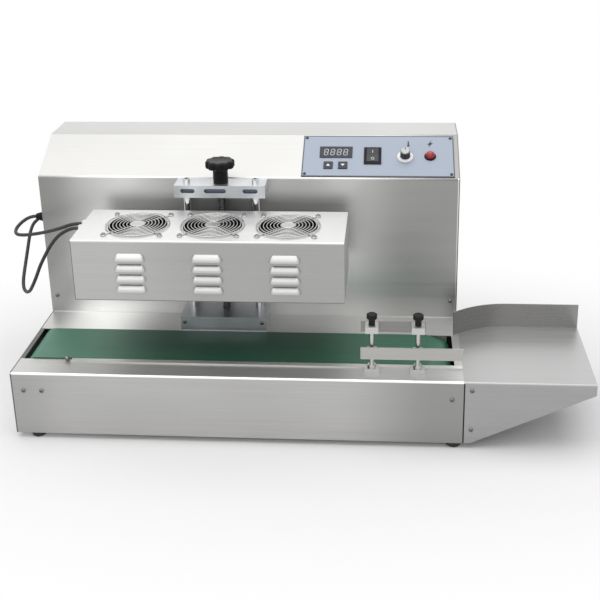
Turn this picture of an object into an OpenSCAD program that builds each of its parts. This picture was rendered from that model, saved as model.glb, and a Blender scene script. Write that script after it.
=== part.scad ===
// Bench-top induction cap sealer: a belt conveyor carries capped bottles under a sealing head that hangs
// on a screw lift in front of a control housing. Lengths are in millimetres, +Z is up, the front faces -Y.
// Positions are counted from the base's front left corner and from the floor, then shifted to the origin.

/* [Base] */
// Length of the base and of the housing on it
base_l = 780; // [700:10:900]
// Depth of the base
base_d = 422; // [400:2:460]
// Height of the base without its feet
base_h = 118; // [110:1:150]
// Sheet thickness of all folded covers
sheet = 1.5; // [1:0.1:2]
// Outer radius of the folds in the sheet
bend_r = 3.5; // [3:0.5:5]
// Diameter of a rubber foot
foot_d = 25; // [20:1:35]
// Height of a rubber foot
foot_h = 10; // [6:1:20]
// Distance from the base's left end to a foot's middle
foot_in_l = 36; // [20:1:50]
// Distance from the base's right end to a foot's middle
foot_in_r = 15; // [13:1:30]
// Distance from the base's front and back to a foot's middle
foot_in_y = 13.5; // [13:0.5:30]

/* [Conveyor] */
// Width of the belt
belt_w = 111; // [90:1:115]
// Distance from the base's front to the belt's front edge
belt_y = 54; // [52:1:60]
// Thickness of the belt
belt_t = 2; // [1:0.1:3]
// Height of the belt's top over the base's top
belt_rise = 2; // [1.6:0.1:4]
// Radius of both rollers
roller_r = 18.6; // [15:0.1:22]
// Diameter of the roller shafts
shaft_d = 12; // [8:0.5:14]
// Distance from the base's left end to the belt
belt_in_l = 9; // [9:1:30]
// Distance from the belt to the base's right end
belt_in_r = 16; // [16:1:30]
// How much lower the drive roller lies than the idler
drive_drop = 8; // [0:0.5:10]
// Width of the bar that the bottle guide slides along
bar_w = 10; // [9:1:12]
// Thickness of that bar
bar_t = 2.5; // [2:0.5:4.5]
// Distance from the base's left end to the bar
bar_in = 96; // [95:1:140]

/* [Housing] */
// Distance from the base's front to the housing's front
housing_y = 240; // [236:1:250]
// Height of the housing's upright front
front_h = 277; // [260:1:300]
// Depth of the sloped control face
slope_run = 97; // [90:1:105]
// Height of the sloped control face
slope_rise = 54; // [50:1:65]

/* [Control panel] */
// Distance from the housing's right end to the panel
panel_in = 9; // [6:1:12]
// Width of the panel
panel_w = 280; // [276:1:320]
// Thickness of the panel
panel_t = 1.5; // [1:0.1:2]
// Distance of the panel from the edges of the slope
panel_edge = 4; // [3:0.5:6]
// Width of the display window
display_w = 61; // [55:1:66]
// Height of the display window
display_h = 29; // [22:1:32]
// Side of a push button
button_w = 16.5; // [12:0.5:18]
// Width of the rocker switch
switch_w = 32; // [26:1:34]
// Height of the rocker switch
switch_h = 42; // [38:1:46]
// Tilt of the rocker on each side of its middle
rocker_tilt = 9; // [6:0.5:10]
// Diameter of the speed knob's skirt
skirt_d = 30; // [26:1:34]
// Diameter of the speed knob
dial_d = 19; // [16:0.5:22]
// Height of the speed knob over the panel
dial_h = 18; // [16:0.5:22]
// Diameter of the pilot lamp's lens
lamp_d = 19; // [10:0.5:20]

/* [Lift] */
// Distance from the base's left end to the lift's middle
lift_x = 347; // [330:1:360]
// Distance from the base's front to the rods' axes
rod_y = 218; // [217:0.5:219]
// Diameter of a guide rod
rod_d = 16; // [12:0.5:18]
// Distance between the guide rods
rod_gap = 126; // [116:1:130]
// Diameter of the lead screw
screw_d = 14; // [10:0.5:16]
// Width of the top plate
top_plate_w = 166; // [160:1:190]
// Depth of the top plate
top_plate_d = 43; // [40:0.5:44]
// Thickness of the top plate
top_plate_t = 23; // [20:0.5:28]
// Width of the bottom bracket
bracket_w = 160; // [156:1:190]
// Depth of the bottom bracket
bracket_d = 69; // [60:1:72]
// Height of the bottom bracket
bracket_h = 27.5; // [24:0.5:32]
// Diameter of the lift knob's head
knob_d = 53; // [40:1:53]
// Thickness of the lift knob's head
knob_t = 14; // [10:0.5:20]
// Diameter of the lift knob's neck
neck_d = 27; // [22:1:30]
// Height of the lift knob's neck
neck_h = 28; // [24:1:36]

/* [Sealing head] */
// Width of the head
head_w = 464; // [440:2:480]
// Depth of the head
head_d = 150; // [140:1:160]
// Height of the head
head_h = 110; // [100:1:120]
// Height of the head's underside over the base's top
head_gap = 121; // [110:1:125]
// Space between the head's back and the top plate's front
head_back_gap = 4; // [3:0.5:6]
// Distance between the fans
fan_pitch = 132; // [125:1:140]
// Side of a fan's square frame
fan_w = 110; // [104:1:116]
// Thickness of a fan's frame
fan_t = 25; // [22:0.5:28]
// Distance between a fan's screws
fan_hole_pitch = 97; // [94:0.5:98]
// Diameter of a fan's air opening
fan_bore = 103; // [96:0.5:104]
// Radius of the wire of the fan guards
wire_r = 1; // [0.8:0.1:1.2]
// Distance between the rings of a fan guard
ring_step = 6; // [5:0.5:6]
// Width of a louvre
louvre_w = 53; // [46:1:60]
// Height of a louvre
louvre_h = 12; // [10:0.5:14]
// How far a louvre stands out
louvre_out = 7; // [4:0.5:7]
// Distance between the rows of louvres
louvre_pitch = 19; // [17:0.5:20]
// Height of the lowest louvre's mouth over the head's underside
louvre_low = 18; // [16:1:22]
// Height of the carriage behind the head
carriage_h = 50; // [40:1:54]

/* [Tray] */
// Length of the outfeed tray
tray_l = 220; // [200:1:260]
// Depth of the outfeed tray
tray_d = 213; // [205:1:225]
// Height of the tray's outer edge
tray_lip = 20; // [16:1:30]
// Height of the curved rail
rail_h = 46; // [36:1:60]
// Radius of the curved rail's bend
rail_r = 147; // [135:1:155]
// Angle of the curved rail's bend
rail_angle = 43; // [38:0.5:44]
// Length of the curved rail's straight run
rail_run = 130; // [110:1:150]

/* [Bottle guide] */
// Distance from the base's right end to the right clamp rod
guide_in = 77; // [70:1:90]
// Distance between the clamp rods
guide_pitch = 78; // [70:1:90]
// Distance from the base's front to the clamp rods
guide_y = 32; // [30:0.5:33]
// Diameter of a clamp rod
clamp_d = 8; // [6:0.5:9]
// Height of a clamp rod with its knob
clamp_h = 109; // [106:1:125]
// Thickness of both guide rails
strip_t = 2; // [1.5:0.1:3]
// Length of the lower guide rail
lower_l = 173; // [150:1:190]
// Height of the lower guide rail
lower_h = 22; // [18:1:26]
// Length of the upper guide rail
upper_l = 110; // [104:1:130]
// Height of the upper guide rail
upper_h = 19; // [16:1:24]

/* [Fits] */
// Radial clearance of a shaft or rod that turns or slides in its bore
run_fit = 0.05; // [0.02:0.01:0.1]
// Clearance around a fixed piece in its cut-out
seat_gap = 0.1; // [0.05:0.05:0.3]
// Clearance around a piece that moves in its cut-out
move_gap = 0.4; // [0.3:0.05:0.6]

/* [Hidden] */
$fn = 48;
eps = 0.01;

// Levels and planes that pieces share
base_z = foot_h;
deck_z = foot_h + base_h;
slope_a = atan2(slope_rise, slope_run);
slope_len = norm([slope_run, slope_rise]);
bend_z = deck_z + front_h;
roof_z = bend_z + slope_rise;
roof_y = housing_y + slope_run;

// Screws: head and shank sizes
head_r = 4;
head_t = 2.2;
shank_r = 2;
shank_l = 6;
hole_reach = 4;
small_scale = 0.75;
front_screws = [[21, 34], [53, 34], [base_l - 19, 34]];
housing_screws = [[12.5, 34], [base_l - 12.5, 34]];
tray_screws = [[14, 16], [14, 91]];
rear_inset = 14;
rear_screws = [for (x = [rear_inset, base_l / 2, base_l - rear_inset])
    for (z = [deck_z + rear_inset, roof_z - rear_inset]) [x, z]];

// Cord glands on the housing's left wall: outside length and places
gland_l = 18;
gland_r = 9;
gland_places = [[257, 319], [330, 290]];
cord_r = 3.2;
gland_bore = cord_r + seat_gap;

// Power inlet in the rear cover
inlet_w = 48;
inlet_h = 28;
inlet_proud = 3;
inlet_in = 90;
inlet_up = 60;
inlet_x = base_l - inlet_in;
inlet_z = deck_z + inlet_up;

// The whole part's box, for the origin at the middle of its underside
x_shift = -(base_l + tray_l - gland_l) / 2;
y_shift = -(base_d + sheet + inlet_proud - head_t) / 2;

module placed() {
    translate([x_shift, y_shift, 0]) children();
}

// An arc of radius r that rounds the corner b between a and c
function unit(v) = v / norm(v);
function corner(a, b, c, r) = let(
    u = unit(a - b),
    w = unit(c - b),
    half = acos(u * w) / 2,
    m = b + unit(u + w) * r / sin(half),
    p = b + u * r / tan(half) - m,
    q = b + w * r / tan(half) - m,
    start = atan2(p.y, p.x),
    turn = atan2(p.x * q.y - p.y * q.x, p * q),
    steps = 6
) [for (i = [0:steps]) m + r * [cos(start + turn * i / steps), sin(start + turn * i / steps)]];

// A profile in the YZ plane, drawn out along X
module along_x(x, length) {
    translate([x, 0, 0]) rotate([90, 0, 90]) linear_extrude(length) children();
}

// A profile in the XZ plane, drawn out along Y
module along_y(y, length) {
    translate([0, y + length, 0]) rotate([90, 0, 0]) linear_extrude(length) children();
}

// A box given by its low and high corners
module block(low, high) {
    translate(low) cube(high - low);
}

// An upright folded cover, open below: front and back walls, a top with two folds, and end walls
module folded_box(low, high) {
    in_r = bend_r - sheet;
    below = low.z - 1;
    outer = concat(
        [[low.y, low.z]],
        corner([low.y, low.z], [low.y, high.z], [high.y, high.z], bend_r),
        corner([low.y, high.z], [high.y, high.z], [high.y, low.z], bend_r),
        [[high.y, low.z]]
    );
    a = low.y + sheet;
    b = high.y - sheet;
    c = high.z - sheet;
    inner = concat(
        [[a, below]],
        corner([a, below], [a, c], [b, c], in_r),
        corner([a, c], [b, c], [b, below], in_r),
        [[b, below]]
    );
    difference() {
        along_x(low.x, high.x - low.x) polygon(outer);
        along_x(low.x + sheet, high.x - low.x - 2 * sheet) polygon(inner);
    }
}

// A pan-head screw whose head stands on z = 0 and whose shank points down
module screw(s = 1, length = shank_l) {
    rotate_extrude($fn = 32) polygon([
        [0, -length], [shank_r * s, -length], [shank_r * s, 0], [head_r * s, 0],
        [head_r * s, head_t * 0.45 * s], [head_r * 0.75 * s, head_t * 0.85 * s],
        [head_r * 0.35 * s, head_t * s], [0, head_t * s]
    ]);
}

// Turns what points up so that it points to the front, to the back or to the left
module facing_front() {
    rotate([90, 0, 0]) children();
}

module facing_back() {
    rotate([-90, 0, 0]) children();
}

module facing_left() {
    rotate([0, -90, 0]) children();
}

module drill(r, length) {
    translate([0, 0, -length]) cylinder(h = 2 * length, r = r, $fn = 24);
}

// Base

module base_shell() color("silver") difference() {
    folded_box([0, 0, base_z], [base_l, base_d, deck_z]);
    block(
        [belt_slot_l, belt_y - belt_side_gap, deck_z - sheet - 1],
        [base_l - belt_slot_r, belt_y + belt_w + belt_side_gap, deck_z + 1]
    );
    for (p = front_screws) translate([p.x, 0, deck_z - p.y])
        facing_front() drill(shank_r + seat_gap, hole_reach);
    translate([stud_x, stud_y, deck_z]) drill(shank_r + seat_gap, hole_reach);
}

// The opening for the belt in the base's top
belt_slot_l = 8;
belt_slot_r = 13;
belt_side_gap = 2;
stud_x = bar_in - 8;
stud_y = belt_y - belt_side_gap - bar_w / 2;

plate_t = 1.5;

module base_plate() color("gray") difference() {
    block(
        [sheet + seat_gap, sheet + seat_gap, base_z],
        [base_l - sheet - seat_gap, base_d - sheet - seat_gap, base_z + plate_t]
    );
    at_feet() drill(foot_stud_r + seat_gap, hole_reach);
}

foot_stud_r = 3;
foot_stud_h = plate_t + 2;
foot_chamfer = 2;

module at_feet() {
    for (x = [foot_in_l, base_l - foot_in_r], y = [foot_in_y, base_d - foot_in_y])
        translate([x, y, base_z]) children();
}

module feet() color("black") at_feet() rotate_extrude() polygon([
    [0, -foot_h], [foot_d / 2 - foot_chamfer, -foot_h], [foot_d / 2, -foot_h + foot_chamfer],
    [foot_d / 2, 0], [foot_stud_r, 0], [foot_stud_r, foot_stud_h], [0, foot_stud_h]
]);

module case_screws() color("gainsboro") {
    for (p = front_screws) translate([p.x, 0, deck_z - p.y]) facing_front() screw();
    for (p = housing_screws) translate([p.x, housing_y, deck_z + p.y]) facing_front() screw();
    for (p = tray_screws) translate([base_l + p.x, 0, deck_z - p.y]) facing_front() screw();
    for (p = rear_screws) translate([p.x, base_d + sheet, p.y]) facing_back() screw();
    for (x = [-1, 1]) translate([lift_x + x * bracket_screw_x, bracket_y, deck_z + bracket_screw_z])
        facing_front() screw();
    at_panel_corners() screw(small_scale, panel_t + sheet);
    translate([stud_x, stud_y, deck_z]) rotate_extrude($fn = 32) polygon([
        [0, -sheet], [shank_r, -sheet], [shank_r, 0], [stud_r * 0.7, 0], [stud_r * 0.7, stud_h * 0.4],
        [stud_r, stud_h * 0.5], [stud_r * 0.9, stud_h * 0.8], [stud_r * 0.5, stud_h], [0, stud_h]
    ]);
}

stud_r = 4.5;
stud_h = 9;

// Conveyor: a loop over an idler at the left, the bed's nose and a drive roller at the right

loop_r = roller_r + move_gap + belt_t;
belt_top = deck_z + belt_rise;
idler_x = belt_in_l + loop_r;
idler_z = belt_top - loop_r;
drive_x = base_l - belt_in_r - loop_r;
drive_z = idler_z - drive_drop;
nose_r = 10;
nose_back = 22;
nose_x = drive_x - nose_back;
bed_t = 3;
side_t = 3;
side_gap = 6;
bearing_w = 32;
bearing_t = 14;
bed_rib = 4;
shaft_in = 2;
belt_back = belt_y + belt_w;
side_front = belt_y - side_gap;
side_back = belt_back + side_gap;
under_deck = deck_z - sheet;

module loop(r_less) {
    hull() {
        translate([idler_x, idler_z]) circle(loop_r - r_less, $fn = 96);
        translate([nose_x, belt_top - nose_r]) circle(nose_r - r_less, $fn = 48);
        translate([drive_x, drive_z]) circle(loop_r - r_less, $fn = 96);
    }
}

module conveyor_belt() color("seagreen") along_y(belt_y, belt_w) difference() {
    loop(0);
    loop(belt_t);
}

module belt_bed() color("lightgray") difference() {
    bed_l = idler_x + loop_r;
    bed_r = nose_x;
    union() {
        block([bed_l, belt_y + 1, under_deck - bed_t], [bed_r, belt_back - 1, belt_top - belt_t]);
        block([bed_l, side_front, under_deck - bed_t - bed_rib], [bed_r, side_back, under_deck - bed_t]);
        for (y = [side_front - side_t, side_back])
            block(
                [idler_x - bearing_w / 2, y, idler_z - loop_r],
                [drive_x + bearing_w / 2, y + side_t, under_deck]
            );
    }
    for (p = [[idler_x, idler_z], [drive_x, drive_z]])
        translate([p.x, 0, p.y]) facing_back() cylinder(h = base_d, r = shaft_d / 2 + 1);
}

module roller(p, back_reach) {
    front_reach = side_front - side_t - bearing_t + shaft_in;
    translate([p.x, 0, p.y]) facing_back() rotate_extrude() polygon([
        [0, front_reach], [shaft_d / 2, front_reach], [shaft_d / 2, belt_y + 1], [roller_r, belt_y + 1],
        [roller_r, belt_back - 1], [shaft_d / 2, belt_back - 1], [shaft_d / 2, back_reach], [0, back_reach]
    ]);
}

module drive_roller() color("dimgray") roller([drive_x, drive_z], gear_y + gear_d - shaft_in);

module idler_roller() color("dimgray")
    roller([idler_x, idler_z], side_back + side_t + bearing_t - shaft_in);

module roller_bearings() color("slategray")
    for (p = [[idler_x, idler_z], [drive_x, drive_z]])
        for (y = [side_front - side_t - bearing_t, side_back + side_t])
            difference() {
                block(
                    [p.x - bearing_w / 2, y, p.y - bearing_w / 2],
                    [p.x + bearing_w / 2, y + bearing_t, p.y + bearing_w / 2]
                );
                translate([p.x, y - 1, p.y]) facing_back()
                    cylinder(h = bearing_t + 2, r = shaft_d / 2 + run_fit);
            }

gear_y = side_back + side_t + bearing_t + 6;
gear_d = 50;
gear_w = 60;
gear_up = 16;
gear_down = 48;
motor_r = 29;
motor_l = 110;
motor_drop = 14;
mount_t = 6;
mount_over = 4;
post_in = 8;

module gear_motor() color("dimgray") difference() {
    union() {
        block(
            [drive_x - gear_w / 2, gear_y, drive_z - gear_down],
            [drive_x + gear_w / 2, gear_y + gear_d, drive_z + gear_up]
        );
        translate([drive_x - gear_w / 2 - motor_l, gear_y + gear_d / 2, drive_z - motor_drop])
            rotate([0, 90, 0]) cylinder(h = motor_l, r = motor_r);
        block(
            [drive_x - gear_w / 2 + post_in, gear_y + post_in, base_z + plate_t],
            [drive_x + gear_w / 2 - post_in, gear_y + gear_d - post_in, drive_z - gear_down]
        );
        block(
            [drive_x - gear_w / 2 - mount_over, gear_y, base_z + plate_t],
            [drive_x + gear_w / 2 + mount_over, gear_y + gear_d, base_z + plate_t + mount_t]
        );
    }
    translate([drive_x, gear_y - 1, drive_z]) facing_back()
        cylinder(h = gear_d + 2, r = shaft_d / 2 + run_fit);
}

module slide_bar() color("lightgray")
    block(
        [bar_in, belt_y - belt_side_gap - bar_w, deck_z],
        [base_l, belt_y - belt_side_gap, deck_z + bar_t]
    );

// Housing: one folded sheet with front, slope and roof, closed by two end walls and a rear cover

module housing_shell() color("silver") {
    in_r = bend_r - sheet;
    outer = concat(
        [[housing_y, deck_z]],
        corner([housing_y, deck_z], [housing_y, bend_z], [roof_y, roof_z], bend_r),
        corner([housing_y, bend_z], [roof_y, roof_z], [base_d, roof_z], bend_r),
        [[base_d, roof_z], [base_d, deck_z]]
    );
    front_in = housing_y + sheet;
    bend_in = bend_z + sheet * tan(slope_a) - sheet / cos(slope_a);
    roof_in = roof_z - sheet;
    roof_y_in = housing_y + (roof_in - bend_z + sheet / cos(slope_a)) / tan(slope_a);
    inner = concat(
        [[front_in, deck_z - 1]],
        corner([front_in, deck_z], [front_in, bend_in], [roof_y_in, roof_in], in_r),
        corner([front_in, bend_in], [roof_y_in, roof_in], [base_d, roof_in], in_r),
        [[base_d + 1, roof_in], [base_d + 1, deck_z - 1]]
    );
    difference() {
        along_x(0, base_l) polygon(outer);
        along_x(sheet, base_l - 2 * sheet) polygon(inner);
        on_slope(panel_x, panel_edge) translate([cutout_edge, cutout_edge, -4 * sheet])
            cube([panel_w - 2 * cutout_edge, panel_h - 2 * cutout_edge, 8 * sheet]);
        at_panel_corners() drill(shank_r * small_scale + seat_gap, hole_reach);
        for (p = housing_screws) translate([p.x, housing_y, deck_z + p.y])
            facing_front() drill(shank_r + seat_gap, hole_reach);
        for (p = gland_places) translate([0, p.x, p.y])
            facing_left() drill(gland_thread_r + seat_gap, hole_reach);
    }
}

vent_rows = 5;
vent_cols = 4;
vent_w = 60;
vent_h = 4;
vent_pitch_x = 90;
vent_pitch_z = 14;
vent_x = 130;
vent_up = 190;
vent_z = deck_z + vent_up;

module rear_cover() color("silver") difference() {
    block([0, base_d, deck_z], [base_l, base_d + sheet, roof_z]);
    for (i = [0:vent_cols - 1], j = [0:vent_rows - 1])
        translate([vent_x + i * vent_pitch_x, base_d - 1, vent_z + j * vent_pitch_z])
            cube([vent_w, sheet + 2, vent_h]);
    for (p = rear_screws) translate([p.x, base_d, p.y]) facing_back() drill(shank_r + seat_gap, hole_reach);
    translate([inlet_x - inlet_cut_w / 2, base_d - 1, inlet_z - inlet_cut_h / 2])
        cube([inlet_cut_w, sheet + 2, inlet_cut_h]);
}

inlet_cut_w = 28;
inlet_cut_h = 21;
inlet_deep = 20;
inlet_wall = 2;

pin_gap = 7;
pin_size = [2, 16, 4];

// A box of the given width, depth and height, centred on the inlet, that ends at depth back
module inlet_box(size, back) {
    translate([inlet_x - size.x / 2, back - size.y, inlet_z - size.z / 2]) cube(size);
}

module power_inlet() color("black") {
    face = base_d + sheet;
    wall = 2 * inlet_wall;
    difference() {
        union() {
            inlet_box([inlet_w, inlet_proud, inlet_h], face + inlet_proud);
            inlet_box([inlet_cut_w - 2 * seat_gap, inlet_deep, inlet_cut_h - 2 * seat_gap], face);
        }
        inlet_box(
            [inlet_cut_w - wall, inlet_deep + inlet_proud, inlet_cut_h - wall],
            face + inlet_proud + inlet_wall
        );
    }
    for (x = [-pin_gap, 0, pin_gap]) translate([x, 0, 0]) inlet_box(pin_size, face - inlet_wall);
}

// Control panel: pieces are placed by x from the panel's left edge and by height up the slope

panel_x = base_l - panel_in - panel_w;
panel_h = slope_len - 2 * panel_edge;
cutout_edge = 14;
corner_inset = 6;
display_at = [62, 60];
buttons_s = 27;
button_gap = 27;
switch_at = [130, 51];
dial_at = [190, 49];
lamp_at = [236, 51];

module on_slope(x, s) {
    translate([x, housing_y + s * cos(slope_a), bend_z + s * sin(slope_a)])
        rotate([slope_a, 0, 0]) children();
}

module on_panel(p) {
    on_slope(panel_x + p.x, panel_edge + p.y) children();
}

module at_panel_corners() {
    for (x = [corner_inset, panel_w - corner_inset], y = [corner_inset, panel_h - corner_inset])
        on_panel([x, y]) translate([0, 0, panel_t]) children();
}

// A plate centred on x and y that stands from z = low to z = high
module slab(w, h, low, high) {
    translate([-w / 2, -h / 2, low]) cube([w, h, high - low]);
}

up_at = [display_at.x - button_gap / 2, buttons_s];
down_at = [display_at.x + button_gap / 2, buttons_s];

module control_panel() color("lightsteelblue") difference() {
    on_panel([0, 0]) cube([panel_w, panel_h, panel_t]);
    on_panel(display_at) slab(display_w, display_h, -1, panel_t + 1);
    for (p = [up_at, down_at])
        on_panel(p) slab(button_w + 2 * move_gap, button_w + 2 * move_gap, -1, panel_t + 1);
    on_panel(switch_at) slab(switch_w - 2 * bezel_rim, switch_h - 2 * bezel_rim, -1, panel_t + 1);
    on_panel(dial_at) drill(pot_bush_r + seat_gap, hole_reach);
    on_panel(lamp_at) drill(lamp_d / 2 + seat_gap, hole_reach);
    at_panel_corners() drill(shank_r * small_scale + seat_gap, hole_reach);
}

display_proud = 1;
display_deep = 8;

module display_window() color("darkslategray") on_panel(display_at)
    slab(display_w - 2 * seat_gap, display_h - 2 * seat_gap, -display_deep, panel_t + display_proud);

button_proud = 2;

module button(p) {
    on_panel(p) slab(button_w, button_w, -button_deep, panel_t + button_proud);
}

button_deep = 5;

module up_button() color("darkslategray") button(up_at);

module down_button() color("darkslategray") button(down_at);

// The board hangs on four posts under the panel, behind the display and the buttons
board_gap = 9;
board_t = 1.6;
board_w = 84;
board_low = 14;
board_high = 78;
post_r = 3;

module control_board() color("darkgreen") on_panel([display_at.x, 0]) {
    post_x = board_w / 2 - post_r - 1;
    translate([-board_w / 2, board_low, -board_gap - board_t])
        cube([board_w, board_high - board_low, board_t]);
    for (x = [-post_x, post_x], y = [board_low + post_r, board_high - post_r])
        translate([x, y, -board_gap]) cylinder(h = board_gap, r = post_r, $fn = 24);
}

bezel_proud = 2;
bezel_rim = 2;
switch_deep = 22;
rocker_r = switch_h / 2 - 5;
rocker_w = switch_w - 10;
rocker_low = -6;
rocker_end = panel_t + 5.5;
rocker_mid = panel_t + 3;

module switch_bezel() color("black") on_panel(switch_at) difference() {
    union() {
        slab(switch_w, switch_h, panel_t, panel_t + bezel_proud);
        slab(
            switch_w - 2 * bezel_rim - 2 * seat_gap, switch_h - 2 * bezel_rim - 2 * seat_gap,
            -switch_deep, panel_t
        );
    }
    slab(rocker_w + 2 * move_gap, 2 * (rocker_r + move_gap), -switch_deep + 2, panel_t + bezel_proud + 1);
}

// A shallow V on top and round ends about its pivot, tilted to its off side at rest
module switch_rocker() color("black") on_panel(switch_at)
    rotate([rocker_tilt, 0, 0]) rotate([90, 0, 90]) translate([0, 0, -rocker_w / 2]) intersection() {
        cylinder(h = rocker_w, r = rocker_r, $fn = 64);
        linear_extrude(rocker_w) polygon([
            [-rocker_r, rocker_low], [rocker_r, rocker_low], [rocker_r, rocker_end], [0, rocker_mid],
            [-rocker_r, rocker_end]
        ]);
    }

pot_bush_r = 4.5;
pot_shaft_r = 3;
pot_body_r = 12;
pot_body_h = 12;
skirt_t = 2.5;
dial_gap = 0.6;
flutes = 16;
flute_r = 1;
shaft_short = 4;

module potentiometer() color("gray") on_panel(dial_at) rotate_extrude() polygon([
    [0, -pot_body_h], [pot_body_r, -pot_body_h], [pot_body_r, 0], [pot_bush_r, 0], [pot_bush_r, panel_t],
    [pot_shaft_r, panel_t], [pot_shaft_r, panel_t + dial_h - shaft_short],
    [0, panel_t + dial_h - shaft_short]
]);

module speed_knob() color("black") on_panel(dial_at) translate([0, 0, panel_t + dial_gap]) difference() {
    rotate_extrude() polygon([
        [0, 0], [skirt_d / 2 - 1, 0], [skirt_d / 2, 0.8], [skirt_d / 2 - 1.5, skirt_t],
        [dial_d / 2, skirt_t], [dial_d / 2 - 0.8, dial_h - 1.2], [dial_d / 2 - 2, dial_h], [0, dial_h]
    ]);
    translate([0, 0, -1]) cylinder(h = dial_h - shaft_short + 2, r = pot_shaft_r + run_fit);
    for (i = [0:flutes - 1]) rotate(i * 360 / flutes) translate([dial_d / 2 + 0.3, 0, skirt_t + 1])
        cylinder(h = dial_h, r = flute_r, $fn = 16);
}

lamp_rim = 1.5;
lamp_rim_t = 2;
lamp_deep = 16;
lamp_wall = 1;
lens_deep = 8;

module lamp_bezel() color("silver") on_panel(lamp_at) rotate_extrude() polygon([
    [lamp_d / 2 - lamp_wall, -lamp_deep], [lamp_d / 2, -lamp_deep], [lamp_d / 2, panel_t],
    [lamp_d / 2 + lamp_rim, panel_t], [lamp_d / 2 + lamp_rim - 0.8, panel_t + lamp_rim_t],
    [lamp_d / 2 - lamp_wall, panel_t + lamp_rim_t]
]);

module lamp_lens() color("crimson") on_panel(lamp_at) {
    r = lamp_d / 2 - lamp_wall;
    rise = panel_t + lamp_rim_t;
    rotate_extrude() polygon(concat(
        [[0, rise - lens_deep], [r, rise - lens_deep], [r, rise + 1]],
        [for (i = [0:5:90]) [r * cos(i), rise + 1 + r * sin(i)]]
    ));
}

// Electronics inside the housing, on its floor

inverter_at = [150, 275];
inverter_size = [280, 120, 2];
standoff_h = 10;
standoff_r = 4;
standoff_in = 8;
can_r = 18;
can_h = 52;
can_pitch = 46;
can_at = [40, 84];
choke_r = 32;
choke_h = 38;
choke_at = [220, 60];

module inverter_board() color("darkgreen") translate([inverter_at.x, inverter_at.y, deck_z]) {
    translate([0, 0, standoff_h]) cube(inverter_size);
    for (x = [standoff_in, inverter_size.x - standoff_in], y = [standoff_in, inverter_size.y - standoff_in])
        translate([x, y, 0]) cylinder(h = standoff_h, r = standoff_r, $fn = 24);
    for (i = [0:2])
        translate([can_at.x + i * can_pitch, can_at.y, standoff_h]) cylinder(h = can_h, r = can_r);
    translate([choke_at.x, choke_at.y, standoff_h]) cylinder(h = choke_h, r = choke_r);
}

sink_at = [480, 280];
sink_size = [120, 110, 60];
fin_count = 9;
fin_t = 3;
sink_floor = 8;

module heat_sink() color("darkgray") translate([sink_at.x, sink_at.y, deck_z]) {
    cube([sink_size.x, sink_size.y, sink_floor]);
    for (i = [0:fin_count - 1])
        translate([i * (sink_size.x - fin_t) / (fin_count - 1), 0, 0])
            cube([fin_t, sink_size.y, sink_size.z]);
}

// Lift: a top plate on the housing's front, two rods and a lead screw down to a bracket on the base

plate_top = bend_z - 1;
plate_low = plate_top - top_plate_t;
plate_y = housing_y - top_plate_d;
bracket_y = housing_y - bracket_d;
bracket_top = deck_z + bracket_h;
bracket_screw_x = bracket_w / 2 - 8;
bracket_screw_z = bracket_h * 0.63;
socket = 12;
bolt_r = 4;
bolt_head_r = 6.5;
bolt_head_h = 7;
bolt_l = 10;
slot_deep = 8;
slot_h = 8;
slot_down = 10;
plate_slots = [[-58, 26], [-8, 40], [56, 27]];
hex_deep = 4;

module at_rods() {
    for (x = [-1, 1]) translate([lift_x + x * rod_gap / 2, rod_y, 0]) children();
}

module lift_top_plate() color("gainsboro") difference() {
    block([lift_x - top_plate_w / 2, plate_y, plate_low], [lift_x + top_plate_w / 2, housing_y, plate_top]);
    at_rods() translate([0, 0, plate_low - 1]) cylinder(h = socket + 1, r = rod_d / 2 + run_fit);
    at_rods() translate([0, 0, plate_top]) drill(bolt_r + seat_gap, bolt_l);
    translate([lift_x, rod_y, plate_low - 1]) cylinder(h = top_plate_t + 2, r = screw_d / 2 + run_fit);
    for (s = plate_slots) translate([lift_x + s.x, plate_y, plate_top - slot_down]) {
        straight = s.y - slot_h;
        block([-straight / 2, -1, -slot_h / 2], [straight / 2, slot_deep, slot_h / 2]);
        for (x = [-straight / 2, straight / 2])
            translate([x, 0, 0]) facing_front() drill(slot_h / 2, slot_deep);
    }
}

module plate_bolts() color("gainsboro") at_rods() translate([0, 0, plate_top]) difference() {
    union() {
        cylinder(h = bolt_head_h, r = bolt_head_r);
        translate([0, 0, -bolt_l]) cylinder(h = bolt_l, r = bolt_r);
    }
    translate([0, 0, bolt_head_h - hex_deep]) cylinder(h = hex_deep + 1, r = bolt_r * 0.85, $fn = 6);
}

module guide_rods() color("whitesmoke") at_rods()
    translate([0, 0, bracket_top - socket])
        cylinder(h = plate_low - bracket_top + 2 * socket, r = rod_d / 2);

module lead_screw() color("dimgray") translate([lift_x, rod_y, bracket_top - socket])
    cylinder(h = plate_top + neck_h - bracket_top + socket, r = screw_d / 2);

lobes = 10;
lobe_cut_r = 4.5;
knob_chamfer = 2;
knob_gap = 0.5;
neck_flare = 4;

module lift_knob() color("black") translate([lift_x, rod_y, plate_top + knob_gap]) difference() {
    rotate_extrude() polygon([
        [0, 0], [neck_d / 2, 0], [neck_d / 2, neck_h - neck_flare], [neck_d / 2 + neck_flare, neck_h],
        [knob_d / 2 - knob_chamfer, neck_h],
        [knob_d / 2, neck_h + knob_chamfer], [knob_d / 2, neck_h + knob_t - knob_chamfer],
        [knob_d / 2 - knob_chamfer, neck_h + knob_t], [0, neck_h + knob_t]
    ]);
    for (i = [0:lobes - 1]) rotate((i + 0.5) * 360 / lobes)
        translate([knob_d / 2 + lobe_cut_r * 0.45, 0, neck_h - 1])
            cylinder(h = knob_t + 2, r = lobe_cut_r, $fn = 32);
    translate([0, 0, -1]) cylinder(h = neck_h + 1 - knob_gap, r = screw_d / 2);
}

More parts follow.
